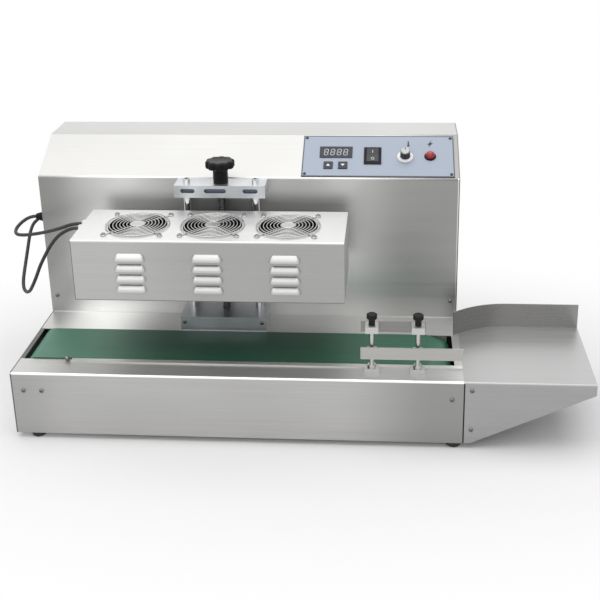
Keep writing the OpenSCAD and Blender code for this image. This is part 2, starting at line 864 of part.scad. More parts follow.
module bottom_bracket() color("gainsboro") difference() {
    block([lift_x - bracket_w / 2, bracket_y, deck_z], [lift_x + bracket_w / 2, housing_y, bracket_top]);
    at_rods() translate([0, 0, bracket_top - socket]) cylinder(h = socket + 1, r = rod_d / 2 + run_fit);
    translate([lift_x, rod_y, bracket_top - socket]) cylinder(h = socket + 1, r = screw_d / 2 + run_fit);
    for (x = [-1, 1]) translate([lift_x + x * bracket_screw_x, bracket_y, deck_z + bracket_screw_z])
        facing_front() drill(shank_r + seat_gap, shank_l);
}

// Sealing head: a folded cover on a carriage that runs on the rods

head_x = lift_x - head_w / 2;
head_back = plate_y - head_back_gap;
head_y = head_back - head_d;
head_z = deck_z + head_gap;
head_top = head_z + head_h;
fan_y = head_y + head_d / 2 - 2;
fan_x = [for (i = [-1:1]) lift_x + i * fan_pitch];
carriage_side = 22;
carriage_w = rod_gap + 2 * carriage_side;
carriage_low = 6;
carriage_back = housing_y - head_back_gap;

module lift_carriage() color("lightgray") difference() {
    block(
        [lift_x - carriage_w / 2, head_back, head_z + carriage_low],
        [lift_x + carriage_w / 2, carriage_back, head_z + carriage_low + carriage_h]
    );
    at_rods() cylinder(h = head_top, r = rod_d / 2 + run_fit);
    translate([lift_x, rod_y, 0]) cylinder(h = head_top, r = screw_d / 2 + run_fit);
}

// A louvre's section: wall distance outwards against height, leaning back from its mouth to the wall
hood_curve = 2.4;
function hood(out, high, steps = 6) = concat(
    [[0, 0]], [for (i = [0:steps]) [out * (1 - pow(i / steps, hood_curve)), high * i / steps]]
);

module hood_solid(out, high, straight) {
    translate([straight / 2, 0, 0]) rotate([90, 0, -90]) linear_extrude(straight) polygon(hood(out, high));
    for (x = [-straight / 2, straight / 2])
        translate([x, 0, 0]) rotate_extrude($fn = 24) polygon(hood(out, high));
}

louvre_run = louvre_w - 2 * louvre_out;
louvre_skin = 1;

module at_louvres() {
    for (x = fan_x, j = [0:3])
        translate([x, head_y, head_z + louvre_low + j * louvre_pitch]) children();
}

module head_shell() color("silver") difference() {
    union() {
        folded_box([head_x, head_y, head_z], [head_x + head_w, head_back, head_top]);
        at_louvres() intersection() {
            hood_solid(louvre_out, louvre_h, louvre_run);
            block([-louvre_w, -louvre_out - 1, -1], [louvre_w, sheet, louvre_h + 1]);
        }
    }
    at_louvres() translate([0, 0, -eps])
        hood_solid(louvre_out - louvre_skin, louvre_h - louvre_skin, louvre_run);
    at_louvres() block([-louvre_run / 2, -1, 0], [louvre_run / 2, sheet + 1, louvre_h - 2 * louvre_skin]);
    for (x = fan_x) translate([x, fan_y, head_top]) drill(fan_bore / 2, hole_reach);
    for (x = fan_x) at_fan_screws(x, head_top) drill(shank_r + seat_gap, hole_reach);
    for (p = grommet_places) translate([head_x, p.x, p.y])
        facing_left() drill(grommet_neck_r + seat_gap, hole_reach);
}

module at_fan_screws(x, z) {
    for (i = [-1, 1], j = [-1, 1])
        translate([x + i * fan_hole_pitch / 2, fan_y + j * fan_hole_pitch / 2, z]) children();
}

head_base_t = 3;

module head_base() color("black")
    block(
        [head_x + sheet + seat_gap, head_y + sheet + seat_gap, head_z],
        [head_x + head_w - sheet - seat_gap, head_back - sheet - seat_gap, head_z + head_base_t]
    );

coil_l = 320;
coil_w = 90;
coil_band = 26;
coil_h = 10;
coil_z = head_z + head_base_t;

module stadium(length, r, h) {
    translate([-length / 2, -r, 0]) cube([length, 2 * r, h]);
    for (x = [-length / 2, length / 2]) translate([x, 0, 0]) cylinder(h = h, r = r);
}

module induction_coil() color("peru") translate([lift_x, head_y + head_d / 2, coil_z]) difference() {
    stadium(coil_l - coil_w, coil_w / 2, coil_h);
    translate([0, 0, -1]) stadium(coil_l - coil_w, coil_w / 2 - coil_band, coil_h + 2);
}

ferrite_count = 7;
ferrite_size = [16, 84, 12];
ferrite_pitch = (coil_l - coil_w) / (ferrite_count - 1);

module ferrite_bars() color("darkslategray")
    for (i = [0:ferrite_count - 1])
        translate([
            lift_x + (i - (ferrite_count - 1) / 2) * ferrite_pitch - ferrite_size.x / 2,
            head_y + head_d / 2 - ferrite_size.y / 2,
            coil_z + coil_h
        ]) cube(ferrite_size);

// Fans: a square frame with a bearing tube, a rotor on its own shaft and a wire guard on the head's top

fan_hub_r = 20;
fan_top = head_top - sheet;
fan_low = fan_top - fan_t;
fan_base_t = 4;
tube_r = 6;
tube_h = 12;
strut_w = 4;
strut_turn = 20;
strut_low = 0.5;
spindle_r = 3;
blade_count = 7;
blade_t = 1.6;
blade_pitch = 38;
blade_h = 14;
rotor_gap = 2;
rotor_low = fan_low + fan_base_t + rotor_gap;
rotor_h = fan_t - fan_base_t - 5;
rotor_wall = 2;

module fan_frame(x) color("dimgray") translate([x, fan_y, fan_low]) {
    difference() {
        slab(fan_w, fan_w, 0, fan_t);
        translate([0, 0, -1]) cylinder(h = fan_t + 2, r = fan_bore / 2);
        for (i = [-1, 1], j = [-1, 1])
            translate([i * fan_hole_pitch / 2, j * fan_hole_pitch / 2, fan_t])
                drill(shank_r + seat_gap, fan_t + 1);
    }
    difference() {
        rotate_extrude() polygon([
            [0, 0], [fan_hub_r, 0], [fan_hub_r, fan_base_t], [tube_r, fan_base_t],
            [tube_r, fan_base_t + tube_h], [0, fan_base_t + tube_h]
        ]);
        translate([0, 0, 1]) cylinder(h = fan_t, r = spindle_r + run_fit);
    }
    for (i = [0:3]) rotate(i * 90 + strut_turn)
        translate([fan_hub_r - 1, -strut_w / 2, strut_low])
            cube([fan_bore / 2 - fan_hub_r + 2, strut_w, fan_base_t - 2 * strut_low]);
}

module fan_rotor(x) color("black") translate([x, fan_y, rotor_low]) {
    difference() {
        cylinder(h = rotor_h, r = fan_hub_r);
        translate([0, 0, -1]) cylinder(h = rotor_h + 1 - 1.5 * rotor_wall, r = fan_hub_r - rotor_wall);
    }
    translate([0, 0, -fan_base_t]) cylinder(h = rotor_h + fan_base_t - 1, r = spindle_r);
    intersection() {
        for (i = [0:blade_count - 1]) rotate(i * 360 / blade_count) translate([0, 0, rotor_h / 2])
            rotate([blade_pitch, 0, 0]) translate([fan_hub_r - 1, -blade_h, -blade_t / 2])
                cube([fan_bore / 2, 2 * blade_h, blade_t]);
        difference() {
            cylinder(h = rotor_h, r = fan_bore / 2 - rotor_gap);
            translate([0, 0, -1]) cylinder(h = rotor_h + 2, r = fan_hub_r - 1);
        }
    }
}

ring_first = 13;
ring_count = 8;
ear_r = 4.2;
ring_z = head_top + 2.6 * wire_r;

module wire_ring(r) {
    rotate_extrude($fn = 64) translate([r, 0]) circle(wire_r, $fn = 16);
}

module fan_guard(x) color("gainsboro") {
    for (i = [0:ring_count - 1])
        translate([x, fan_y, ring_z]) wire_ring(ring_first + i * ring_step);
    reach = fan_hole_pitch / sqrt(2) - ear_r;
    for (a = [45:90:315]) translate([x, fan_y, head_top + wire_r]) rotate(a) rotate([0, 90, 0])
        translate([0, 0, ring_first - 1]) cylinder(h = reach - ring_first + 1, r = wire_r, $fn = 16);
    at_fan_screws(x, head_top + wire_r) wire_ring(ear_r);
    translate([x, fan_y, head_top + wire_r]) cylinder(h = 2 * wire_r, r = ring_first - 0.5);
}

module fan_screw() {
    translate([0, 0, 2 * wire_r]) screw(1, 2 * wire_r + sheet + fan_t - 4);
}

module guard_screws() color("gainsboro") for (x = fan_x) at_fan_screws(x, head_top) fan_screw();

// Cords between the housing's left wall and the head's left wall

grommet_places = [[150, head_top - 12], [128, head_top - 12]];
grommet_r = 8;
grommet_neck_r = 6;
grommet_l = 9;
grommet_bore = cord_r + move_gap;
gland_thread_r = 7;
gland_inside = 4;
gland_nut_h = 4;
rib_pitch = 3.5;
rib_h = 2.4;
rib_deep = 1.6;

module gland_solid() {
    rotate_extrude() polygon(concat(
        [[gland_bore, -gland_inside], [gland_thread_r, -gland_inside], [gland_thread_r, 0]],
        [[gland_r + 1, 0], [gland_r + 1, gland_nut_h]],
        [for (i = [0:3]) let(z = gland_nut_h + rib_pitch * i, r = gland_r - i)
            each [[r, z], [r, z + rib_h], [r - rib_deep, z + rib_h]]],
        [[gland_bore, gland_l]]
    ));
}

module cord_glands() color("black")
    for (p = gland_places) translate([0, p.x, p.y]) facing_left() gland_solid();

module head_grommets() color("white")
    for (p = grommet_places) translate([head_x, p.x, p.y]) facing_left() rotate_extrude() polygon([
        [grommet_bore, -sheet - 2], [grommet_neck_r, -sheet - 2], [grommet_neck_r, 0], [grommet_r, 0],
        [grommet_r, 2.5], [grommet_r - 1.5, grommet_l], [grommet_bore, grommet_l]
    ]);

upper_route = [
    [-10, 257, 319], [-22, 257, 319], [-34, 254, 316], [-43, 246, 311], [-48, 234, 306], [-47, 220, 303],
    [-40, 208, 302], [-28, 199, 304], [-12, 191, 308], [8, 182, 314], [28, 173, 321], [48, 164, 329],
    [66, 156, 337], [82, 151, 344], [96, 150, 347], [110, 150, 347]
];
lower_route = [
    [110, 128, 347], [96, 128, 347], [80, 129, 341], [63, 133, 328], [47, 138, 309], [32, 145, 286],
    [18, 152, 262], [6, 160, 238], [-6, 168, 216], [-17, 178, 200], [-28, 189, 193], [-37, 202, 195],
    [-42, 216, 203], [-44, 230, 214], [-45, 244, 226], [-46, 258, 238], [-47, 272, 250], [-48, 286, 262],
    [-48, 299, 273], [-46, 312, 282], [-39, 323, 288], [-30, 329, 290], [-21, 330, 290], [-10, 330, 290]
];
cord_sides = 10;

// A tube swept along a route: one ring of points at each route point, square to the route there
function tangent(route, i) = unit(route[min(i + 1, len(route) - 1)] - route[max(i - 1, 0)]);
function ring_at(route, i) = let(
    t = tangent(route, i),
    side = unit(cross(t, [0.3, 1, 0.2])),
    up = cross(side, t),
    step = 360 / cord_sides
) [for (k = [0:cord_sides - 1]) route[i] + cord_r * (cos(step * k) * side + sin(step * k) * up)];

module cord(route) {
    n = len(route);
    points = [for (i = [0:n - 1]) each ring_at(route, i)];
    walls = [for (i = [0:n - 2], k = [0:cord_sides - 1]) let(m = (k + 1) % cord_sides)
        each [
            [i * cord_sides + k, i * cord_sides + m, (i + 1) * cord_sides + m],
            [i * cord_sides + k, (i + 1) * cord_sides + m, (i + 1) * cord_sides + k]
        ]];
    first = [[for (k = [cord_sides - 1:-1:0]) k]];
    last = [[for (k = [0:cord_sides - 1]) (n - 1) * cord_sides + k]];
    polyhedron(points, concat(first, walls, last), convexity = 6);
}

module upper_cord() color("black") cord(upper_route);

module lower_cord() color("black") cord(lower_route);

// Outfeed tray: a top sheet with an end lip, two gussets and a flange on the base's end

tray_x = base_l;
tray_end = base_l + tray_l;
seam = 2.5;
gusset_foot = 12;

module tray() color("silver") difference() {
    tab_top = deck_z - bend_r - seam;
    union() {
        difference() {
            folded_box([tray_x, 0, base_z], [tray_end, tray_d, deck_z]);
            for (y = [-1, tray_d - sheet])
                block([tray_x - 1, y, base_z - 1], [tray_x + seam, y + sheet + 1, tab_top]);
        }
        for (y = [sheet, tray_d - 2 * sheet])
            block([tray_x + sheet, y, base_z], [tray_x + 2 * gusset_foot, y + sheet, tab_top - 1]);
    }
    along_y(-1, tray_d + 2) polygon([
        [tray_x + gusset_foot, base_z], [tray_end + 1, deck_z - tray_lip],
        [tray_end + 1, base_z - 1], [tray_x + gusset_foot, base_z - 1]
    ]);
    for (p = tray_screws) translate([tray_x + p.x, 0, deck_z - p.y])
        facing_front() drill(shank_r + seat_gap, hole_reach);
}

// A rail of sheet on the tray: a straight run along its back edge, then a bend towards the belt
module curved_rail() color("silver") {
    bend_x = tray_end - rail_run;
    rail_y = tray_d - bend_r;
    translate([0, 0, deck_z]) {
        block([bend_x, rail_y - sheet, 0], [tray_end, rail_y, rail_h]);
        translate([bend_x, rail_y - rail_r, 0]) rotate(90) rotate_extrude(angle = rail_angle, $fn = 96)
            translate([rail_r - sheet, 0]) square([sheet, rail_h]);
    }
}

// Bottle guide: two clamp rods with knobs on feet that slide along the bar, and two rails

guide_x = [base_l - guide_in - guide_pitch, base_l - guide_in];
bar_front = belt_y - belt_side_gap - bar_w;
foot_w = 25;
foot_front = guide_y - 8;
foot_t = 8;
foot_lip = 4;
foot_lip_t = 3;
upper_low = 76.5;
block_h = 12;
block_w = 22;
lower_low = 28;
lower_block_w = 16;
lower_in = 7;
knob_low = clamp_h - 9;
clamp_knob_r = 9;
clamp_stem_r = 5.5;
nut_h = 6;
nut_r = 7.5;
rod_seat = 2;
turn_gap = 0.3;
grips = 8;
grip_r = 2;
rail_left = guide_x[0] - 19;

module at_clamps() {
    for (x = guide_x) translate([x, guide_y, deck_z]) children();
}

module guide_feet() color("lightgray") difference() {
    for (x = guide_x) {
        block([x - foot_w / 2, foot_front, deck_z], [x + foot_w / 2, bar_front, deck_z + foot_t]);
        block(
            [x - foot_w / 2, bar_front - 1, deck_z + bar_t],
            [x + foot_w / 2, bar_front + foot_lip, deck_z + bar_t + foot_lip_t]
        );
    }
    at_clamps() translate([0, 0, rod_seat]) cylinder(h = foot_t, r = clamp_d / 2 + run_fit);
}

// The rod, its lock nut and its moulded knob turn as one
module clamp_rod(x) color("black") translate([x, guide_y, deck_z]) {
    translate([0, 0, rod_seat]) cylinder(h = clamp_h - 3 * rod_seat, r = clamp_d / 2);
    translate([0, 0, foot_t + turn_gap]) cylinder(h = nut_h, r = nut_r, $fn = 6);
    translate([0, 0, upper_low + block_h + turn_gap])
        cylinder(h = knob_low - upper_low - block_h, r = clamp_stem_r);
    difference() {
        translate([0, 0, knob_low]) rotate_extrude() polygon([
            [0, 0], [clamp_knob_r - 1, 0], [clamp_knob_r, 1], [clamp_knob_r, clamp_h - knob_low - 1.5],
            [clamp_knob_r - 2, clamp_h - knob_low], [0, clamp_h - knob_low]
        ]);
        for (i = [0:grips - 1]) rotate(i * 360 / grips) translate([clamp_knob_r + 1, 0, knob_low - 1])
            cylinder(h = clamp_h, r = grip_r, $fn = 16);
    }
}

module rail_blocks() color("lightgray") difference() {
    for (x = guide_x) {
        block(
            [x - block_w / 2, guide_y - block_w / 2, deck_z + upper_low],
            [x + block_w / 2, guide_y + block_w / 2, deck_z + upper_low + block_h]
        );
        block(
            [x - lower_block_w / 2, guide_y - lower_block_w / 2, deck_z + lower_low + lower_in],
            [x + lower_block_w / 2, guide_y + lower_block_w / 2, deck_z + lower_low + lower_h - lower_in]
        );
    }
    at_clamps() cylinder(h = clamp_h, r = clamp_d / 2 + run_fit);
}

module lower_rail() color("lightgray") {
    y = guide_y - lower_block_w / 2 - strip_t;
    low = deck_z + lower_low;
    block([rail_left, y, low], [rail_left + lower_l, y + strip_t, low + lower_h]);
}

module upper_rail() color("lightgray") {
    y = guide_y + block_w / 2;
    low = deck_z + upper_low + block_h - upper_h;
    block([rail_left, y, low], [rail_left + upper_l, y + strip_t, low + upper_h]);
}

placed() base_shell();
placed() base_plate();
placed() feet();
placed() case_screws();
placed() belt_bed();
placed() conveyor_belt();
placed() drive_roller();
placed() idler_roller();
placed() roller_bearings();
placed() gear_motor();
placed() slide_bar();
placed() housing_shell();
placed() rear_cover();
placed() power_inlet();
placed() control_panel();
placed() display_window();
placed() up_button();
placed() down_button();
placed() switch_bezel();
placed() switch_rocker();
placed() speed_knob();
placed() potentiometer();
placed() lamp_bezel();
placed() lamp_lens();
placed() control_board();
placed() inverter_board();
placed() heat_sink();
placed() lift_top_plate();
placed() plate_bolts();
placed() guide_rods();
placed() lead_screw();
placed() lift_knob();
placed() bottom_bracket();
placed() lift_carriage();
placed() head_shell();
placed() head_base();
placed() induction_coil();
placed() ferrite_bars();
placed() fan_frame(fan_x[0]);  // fan_frame_left
placed() fan_frame(fan_x[1]);  // fan_frame_middle
placed() fan_frame(fan_x[2]);  // fan_frame_right
placed() fan_rotor(fan_x[0]);  // fan_rotor_left
placed() fan_rotor(fan_x[1]);  // fan_rotor_middle
placed() fan_rotor(fan_x[2]);  // fan_rotor_right
placed() fan_guard(fan_x[0]);  // fan_guard_left
placed() fan_guard(fan_x[1]);  // fan_guard_middle
placed() fan_guard(fan_x[2]);  // fan_guard_right
placed() guard_screws();
placed() head_grommets();
placed() cord_glands();
placed() upper_cord();
placed() lower_cord();
placed() tray();
placed() curved_rail();
placed() guide_feet();
placed() clamp_rod(guide_x[0]);  // clamp_rod_left
placed() clamp_rod(guide_x[1]);  // clamp_rod_right
placed() rail_blocks();
placed() lower_rail();
placed() upper_rail();
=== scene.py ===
import math

import bmesh
import bpy
from mathutils import Matrix, Vector


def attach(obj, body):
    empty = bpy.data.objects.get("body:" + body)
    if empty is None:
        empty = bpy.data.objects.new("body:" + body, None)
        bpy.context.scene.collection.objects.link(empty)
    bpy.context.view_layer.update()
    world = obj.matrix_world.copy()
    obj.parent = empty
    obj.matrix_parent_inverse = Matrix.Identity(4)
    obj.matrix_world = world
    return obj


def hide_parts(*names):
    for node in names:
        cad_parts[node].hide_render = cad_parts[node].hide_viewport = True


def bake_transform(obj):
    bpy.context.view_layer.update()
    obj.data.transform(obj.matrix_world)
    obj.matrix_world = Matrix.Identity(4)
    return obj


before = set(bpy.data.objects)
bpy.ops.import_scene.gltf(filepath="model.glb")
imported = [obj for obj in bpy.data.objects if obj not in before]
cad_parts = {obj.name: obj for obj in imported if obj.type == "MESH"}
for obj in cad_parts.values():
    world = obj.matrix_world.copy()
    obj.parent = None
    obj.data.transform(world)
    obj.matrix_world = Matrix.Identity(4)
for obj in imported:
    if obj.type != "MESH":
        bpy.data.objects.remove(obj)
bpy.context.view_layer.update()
scene = bpy.context.scene

# Camera: it stands in front of the machine, right of its middle and well above the belt. Places are written
# in millimetres from the base's front left corner and from the floor, as on the machine's own drawing.
FRONT_CORNER = Vector((491, 212.15, 0))


def at(x, y, z):
    return (Vector((x, y, z)) - FRONT_CORNER) / 1000


PHOTO_SIDE = 600
FOCAL_PIXELS = 1029.5
SENSOR = 36
camera_yaw, camera_pitch, camera_roll = 0.0765, 0.3313, -0.0179
forward = Vector((
    -math.sin(camera_yaw) * math.cos(camera_pitch),
    math.cos(camera_yaw) * math.cos(camera_pitch),
    -math.sin(camera_pitch),
))
level_right = Vector((math.cos(camera_yaw), math.sin(camera_yaw), 0))
level_up = level_right.cross(forward)
right = math.cos(camera_roll) * level_right + math.sin(camera_roll) * level_up
up = math.cos(camera_roll) * level_up - math.sin(camera_roll) * level_right
camera_data = bpy.data.cameras.new("camera")
camera_data.sensor_width = SENSOR
camera_data.lens = SENSOR * FOCAL_PIXELS / PHOTO_SIDE
camera_data.shift_x, camera_data.shift_y = -0.03, -0.2
camera = bpy.data.objects.new("camera", camera_data)
camera_turn = Matrix((right, up, -forward)).transposed().to_4x4()
camera.matrix_world = Matrix.Translation(at(658.2, -1531.4, 1013)) @ camera_turn
scene.collection.objects.link(camera)
scene.camera = camera

# Studio: a pale floor and white surroundings with soft boxes overhead, behind and in front. The view, mirrors
# and glass see the floor fade to full white away from the machine, so the lamps stay at a plain level.
scene.view_settings.view_transform = "Standard"


class Value:
    """An output of a material's node. Maths on it adds the nodes that work it out."""

    def __init__(self, finish, socket):
        self.finish, self.socket = finish, socket

    def maths(self, operation, *terms):
        return self.finish.add("ShaderNodeMath", {"operation": operation}, dict(enumerate(terms)))

    def __add__(self, other):
        return self.maths("ADD", self, other)

    __radd__ = __add__

    def __sub__(self, other):
        return self.maths("SUBTRACT", self, other)

    def __rsub__(self, other):
        return self.maths("SUBTRACT", other, self)

    def __mul__(self, other):
        return self.maths("MULTIPLY", self, other)

    __rmul__ = __mul__

    def __abs__(self):
        return self.maths("ABSOLUTE", self)

    def most(self, other):
        return self.maths("MAXIMUM", self, other)

    def least(self, other):
        return self.maths("MINIMUM", self, other)

    def rise(self, low, high):
        """0 below low, 1 above high, smooth between; low may be the larger one."""
        return self.finish.add(
            "ShaderNodeMapRange", {"interpolation_type": "SMOOTHSTEP"},
            {0: self, 1: low, 2: high, 3: 0.0, 4: 1.0},
        )


class Finish:
    """A material, or the surroundings, while its nodes are put together."""

    def __init__(self, name, owner=None, **constants):
        self.owner = owner or bpy.data.materials.new(name)
        self.owner.use_nodes = True
        self.nodes, self.links = self.owner.node_tree.nodes, self.owner.node_tree.links
        self.shader = self.nodes.get("Principled BSDF")
        for socket, value in constants.items():
            self.shader.inputs[socket.replace("_", " ")].default_value = value

    def join(self, value, socket):
        if isinstance(value, Value):
            self.links.new(value.socket, socket)
        else:
            socket.default_value = value

    def add(self, kind, settings=None, sockets=None, out=0):
        node = self.nodes.new(kind)
        for key, value in (settings or {}).items():
            setattr(node, key, value)
        for key, value in (sockets or {}).items():
            self.join(value, node.inputs[key])
        return Value(self, node.outputs[out])

    def feed(self, **inputs):
        for socket, value in inputs.items():
            self.join(value, self.shader.inputs[socket.replace("_", " ")])
        return self

    def place(self, scale=(1, 1, 1)):
        spot = self.add("ShaderNodeTexCoord", out="Object")
        return self.add("ShaderNodeVectorMath", {"operation": "MULTIPLY"}, {0: spot, 1: scale})

    def coordinate(self, axis):
        return self.add("ShaderNodeSeparateXYZ", None, {0: self.place()}, out=axis)

    def along(self, direction, origin):
        """Millimetres from origin along a direction."""
        spot = self.add("ShaderNodeTexCoord", out="Object")
        arm = self.add("ShaderNodeVectorMath", {"operation": "SUBTRACT"}, {0: spot, 1: origin})
        reach = {0: arm, 1: Vector(direction) * 1000}
        return self.add("ShaderNodeVectorMath", {"operation": "DOT_PRODUCT"}, reach, out="Value")

    def grain(self, scale, detail=2.0, roughness=0.5):
        sockets = {"Vector": self.place(scale), "Scale": 1.0, "Detail": detail, "Roughness": roughness}
        return self.add("ShaderNodeTexNoise", None, sockets)

    def mix(self, part, first, second):
        return self.add("ShaderNodeMix", {"data_type": "RGBA"}, {0: part, 6: first, 7: second}, out=2)

    def over(self, part, tone):
        """Lays another tone over the colour where part is 1."""
        under = Value(self, self.shader.inputs["Base Color"].links[0].from_socket)
        return self.feed(Base_Color=self.mix(part, under, tone))

    def bump(self, height, depth, strength=1.0):
        return self.add("ShaderNodeBump", None, {"Height": height, "Distance": depth, "Strength": strength})


def seen(finish):
    """1 for the view, mirrors and glass, 0 for the light that falls on things."""
    kinds = ("Is Camera Ray", "Is Glossy Ray", "Is Transmission Ray")
    rays = [finish.add("ShaderNodeLightPath", out=kind) for kind in kinds]
    return rays[0].most(rays[1]).most(rays[2])


world = scene.world or bpy.data.worlds.new("studio")
scene.world = world
room = Finish("studio", owner=world)
room_light = room.nodes["Background"]
room_light.inputs["Color"].default_value = (1, 1, 1, 1)
ROOM_LEVEL = 0.36
room.join(seen(room) * (1 - ROOM_LEVEL) + ROOM_LEVEL, room_light.inputs["Strength"])

FLOOR_HALF = 30
floor_mesh = bpy.data.meshes.new("floor")
floor_corners = [(x * FLOOR_HALF, y * FLOOR_HALF, 0) for x, y in ((-1, -1), (1, -1), (1, 1), (-1, 1))]
floor_mesh.from_pydata(floor_corners, [], [(0, 1, 2, 3)])
floor = bpy.data.objects.new("floor", floor_mesh)
scene.collection.objects.link(floor)
floor_paint = Finish("floor_paint", Roughness=0.9, Specular_IOR_Level=0.0, Emission_Strength=1.0)
floor_reach = floor_paint.add(
    "ShaderNodeVectorMath", {"operation": "LENGTH"}, {0: floor_paint.place((0.55, 1, 1))}, out="Value"
)
white_out = seen(floor_paint) * floor_reach.rise(0.24, 0.66)
floor_paint.feed(
    Base_Color=floor_paint.mix(white_out, (0.88, 0.88, 0.88, 1), (0, 0, 0, 1)),
    Emission_Color=floor_paint.mix(white_out, (0, 0, 0, 1), (1, 1, 1, 1)),
)
floor_mesh.materials.append(floor_paint.owner)


def soft_box(name, place, aim, width, height, level):
    lamp = bpy.data.lights.new(name, "AREA")
    lamp.shape = "RECTANGLE"
    lamp.size, lamp.size_y = width, height
    lamp.energy = level * math.pi * width * height
    stand = bpy.data.objects.new(name, lamp)
    stand.location = place
    stand.rotation_euler = (Vector(aim) - Vector(place)).to_track_quat("-Z", "Y").to_euler()
    stand.visible_camera = False
    scene.collection.objects.link(stand)


soft_box("overhead_box", (-0.1, -0.1, 2.3), (-0.1, 0.05, 0), 3.4, 2.4, 1.7)
soft_box("back_box", (0, 2.7, 1.45), (0, 0, 0.3), 4.2, 1.7, 0.75)
soft_box("front_box", (-0.4, -2.4, 1.7), (0, 0, 0.2), 3.8, 1.6, 1.05)

# Base: a box of brushed stainless sheet folded along its long edges, with an opening for the belt, closed
# by a plate below. The sheet is ground along its length, so its scratches all run that way.


def dress(finish, *nodes):
    for node in nodes:
        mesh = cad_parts[node].data
        mesh.materials.clear()
        mesh.materials.append(finish.owner)


def brushed_steel(
    name, tone=(0.5, 0.497, 0.487), roughness=0.4, run=(2.5, 1, 1), coarse=170, fine=900, metallic=0.75
):
    """Ground sheet: run is above 1 where scratches run, coarse and fine say how close they lie across it."""
    finish = Finish(name, Metallic=metallic)
    bands = finish.grain([c if c > 1 else coarse for c in run], 3.0, 0.6)
    hairs = finish.grain([4 * c if c > 1 else fine for c in run], 2.0)
    clouds = finish.grain((5, 5, 7), 2.0)
    shade = (bands - 0.5) * 0.34 + (hairs - 0.5) * 0.22 + (clouds - 0.5) * 0.25
    dark = tuple(c * 0.72 for c in tone) + (1,)
    pale = tuple(min(1, c * 1.26) for c in tone) + (1,)
    return finish.feed(
        Base_Color=finish.mix((shade + 0.5).least(1).most(0), dark, pale),
        Roughness=roughness + (bands - 0.5) * 0.18 + (hairs - 0.5) * 0.12,
        Normal=finish.bump(hairs * 0.6 + bands * 0.4, 0.00012, 0.5),
    )


LEFTWARD, RIGHTWARD = (-1, 0, 0), (1, 0, 0)
FRONT, BACK = (0, -1, 0), (0, 1, 0)
DOWNWARD, UPWARD = (0, 0, -1), (0, 0, 1)
DECK = 128
sheet_finish = brushed_steel("base_sheet")
from_left = sheet_finish.along(RIGHTWARD, at(0, 0, 0))
from_front = sheet_finish.along(BACK, at(0, 0, 0))
from_top = sheet_finish.along(DOWNWARD, at(0, 0, DECK))
on_base_front, on_deck = from_front.rise(0.9, 0.5), from_top.rise(0.9, 0.5)
# Painted shade: the base's front is darkened towards both ends.
painted_shade_ends = from_left.rise(560, 740) * 0.62 + from_left.rise(110, 10) * 0.3
sheet_finish.over(painted_shade_ends * on_base_front, (0.22, 0.218, 0.213, 1))
# Painted light: a pale band on the deck behind the belt, near its left end.
painted_light_band = from_left.rise(10, 70) * from_left.rise(250, 130) * from_front.rise(150, 170)
sheet_finish.over(painted_light_band * on_deck, (0.98, 0.98, 0.97, 1))
# Painted highlight: a pale band along the front top fold.
painted_fold_highlight = from_front.rise(3.6, 3.0) * from_top.rise(3.6, 3.0)
sheet_finish.over(painted_fold_highlight, (0.85, 0.85, 0.84, 1))
# Painted shade: dark lines along the base's left edges and across the deck's left end beside the belt.
painted_base_edge_shade = from_left.rise(2.4, 1.8) * from_front.least(from_top).rise(0.9, 0.5)
painted_end_shade = from_left.rise(8.1, 7.9) * from_front.rise(52, 53) * from_front.rise(168, 167)
sheet_finish.over(painted_base_edge_shade.most(painted_end_shade * on_deck), (0.11, 0.108, 0.104, 1))
dress(sheet_finish, "base_shell", "base_plate")

# Feet: four turned black rubber buffers, each screwed through the bottom plate on its own stud. Their dull
# skin carries a little dust.
rubber = Finish("foot_rubber")
rubber_dust = rubber.grain((220, 220, 220), 3.0)
rubber.feed(
    Base_Color=rubber.mix(rubber_dust.rise(0.35, 0.8), (0.012, 0.012, 0.012, 1), (0.04, 0.039, 0.037, 1)),
    Roughness=0.62 + rubber_dust * 0.25,
    Normal=rubber.bump(rubber_dust, 0.0002, 0.4),
)
dress(rubber, "feet")

# Screws: bright pan heads with a cross recess hold the base, the housing, the tray, the panel and the lift's
# bracket. The domed stud beside the slide bar is the bar's end stop.


def turned(bm, profile, place, sides=24):
    """A turned body: the profile's points are radius and height, from axis to axis."""
    rings = []
    for radius, height in profile:
        count = 1 if radius == 0 else sides
        turns = [2 * math.pi * i / sides for i in range(count)]
        rim = [Vector((radius * math.cos(a), radius * math.sin(a), height)) for a in turns]
        rings.append([bm.verts.new(place @ spot) for spot in rim])
    for low, high in zip(rings, rings[1:]):
        for i in range(sides):
            j = (i + 1) % sides
            corners = [low[i % len(low)], low[j % len(low)], high[j % len(high)], high[i % len(high)]]
            corners = [v for k, v in enumerate(corners) if v not in corners[:k]]
            if len(corners) > 2:
                bm.faces.new(corners)
    return rings


def cross_screw(bm, place, radius, height, shank, length):
    """A pan head on a shank, with a cross recess pressed into the head."""
    turned_rings = turned(bm, [
        (0, -length), (shank, -length), (shank, 0), (radius, 0), (radius, height * 0.4),
        (radius * 0.93, height * 0.62), (radius * 0.78, height * 0.85), (radius * 0.62, height),
    ], place)
    wide, narrow, deep = radius * 0.5, radius * 0.13, height * 0.75
    arms = [(wide, narrow), (narrow, narrow), (narrow, wide)]
    outline = []
    for quarter in range(4):
        c, s = [(1, 0), (0, 1), (-1, 0), (0, -1)][quarter]
        outline += [(x * c - y * s, x * s + y * c) for x, y in arms]
    brim = [bm.verts.new(place @ Vector((x, y, height))) for x, y in outline]
    well = [bm.verts.new(place @ Vector((x * 0.8, y * 0.8, height - deep))) for x, y in outline]
    edges = []
    for loop in (turned_rings[-1], brim):
        edges += [bm.edges.get((a, b)) or bm.edges.new((a, b)) for a, b in zip(loop, loop[1:] + loop[:1])]
    bmesh.ops.triangle_fill(bm, use_beauty=True, use_dissolve=False, edges=edges)
    for i in range(len(brim)):
        j = (i + 1) % len(brim)
        bm.faces.new((brim[i], brim[j], well[j], well[i]))
    bm.faces.new(well)


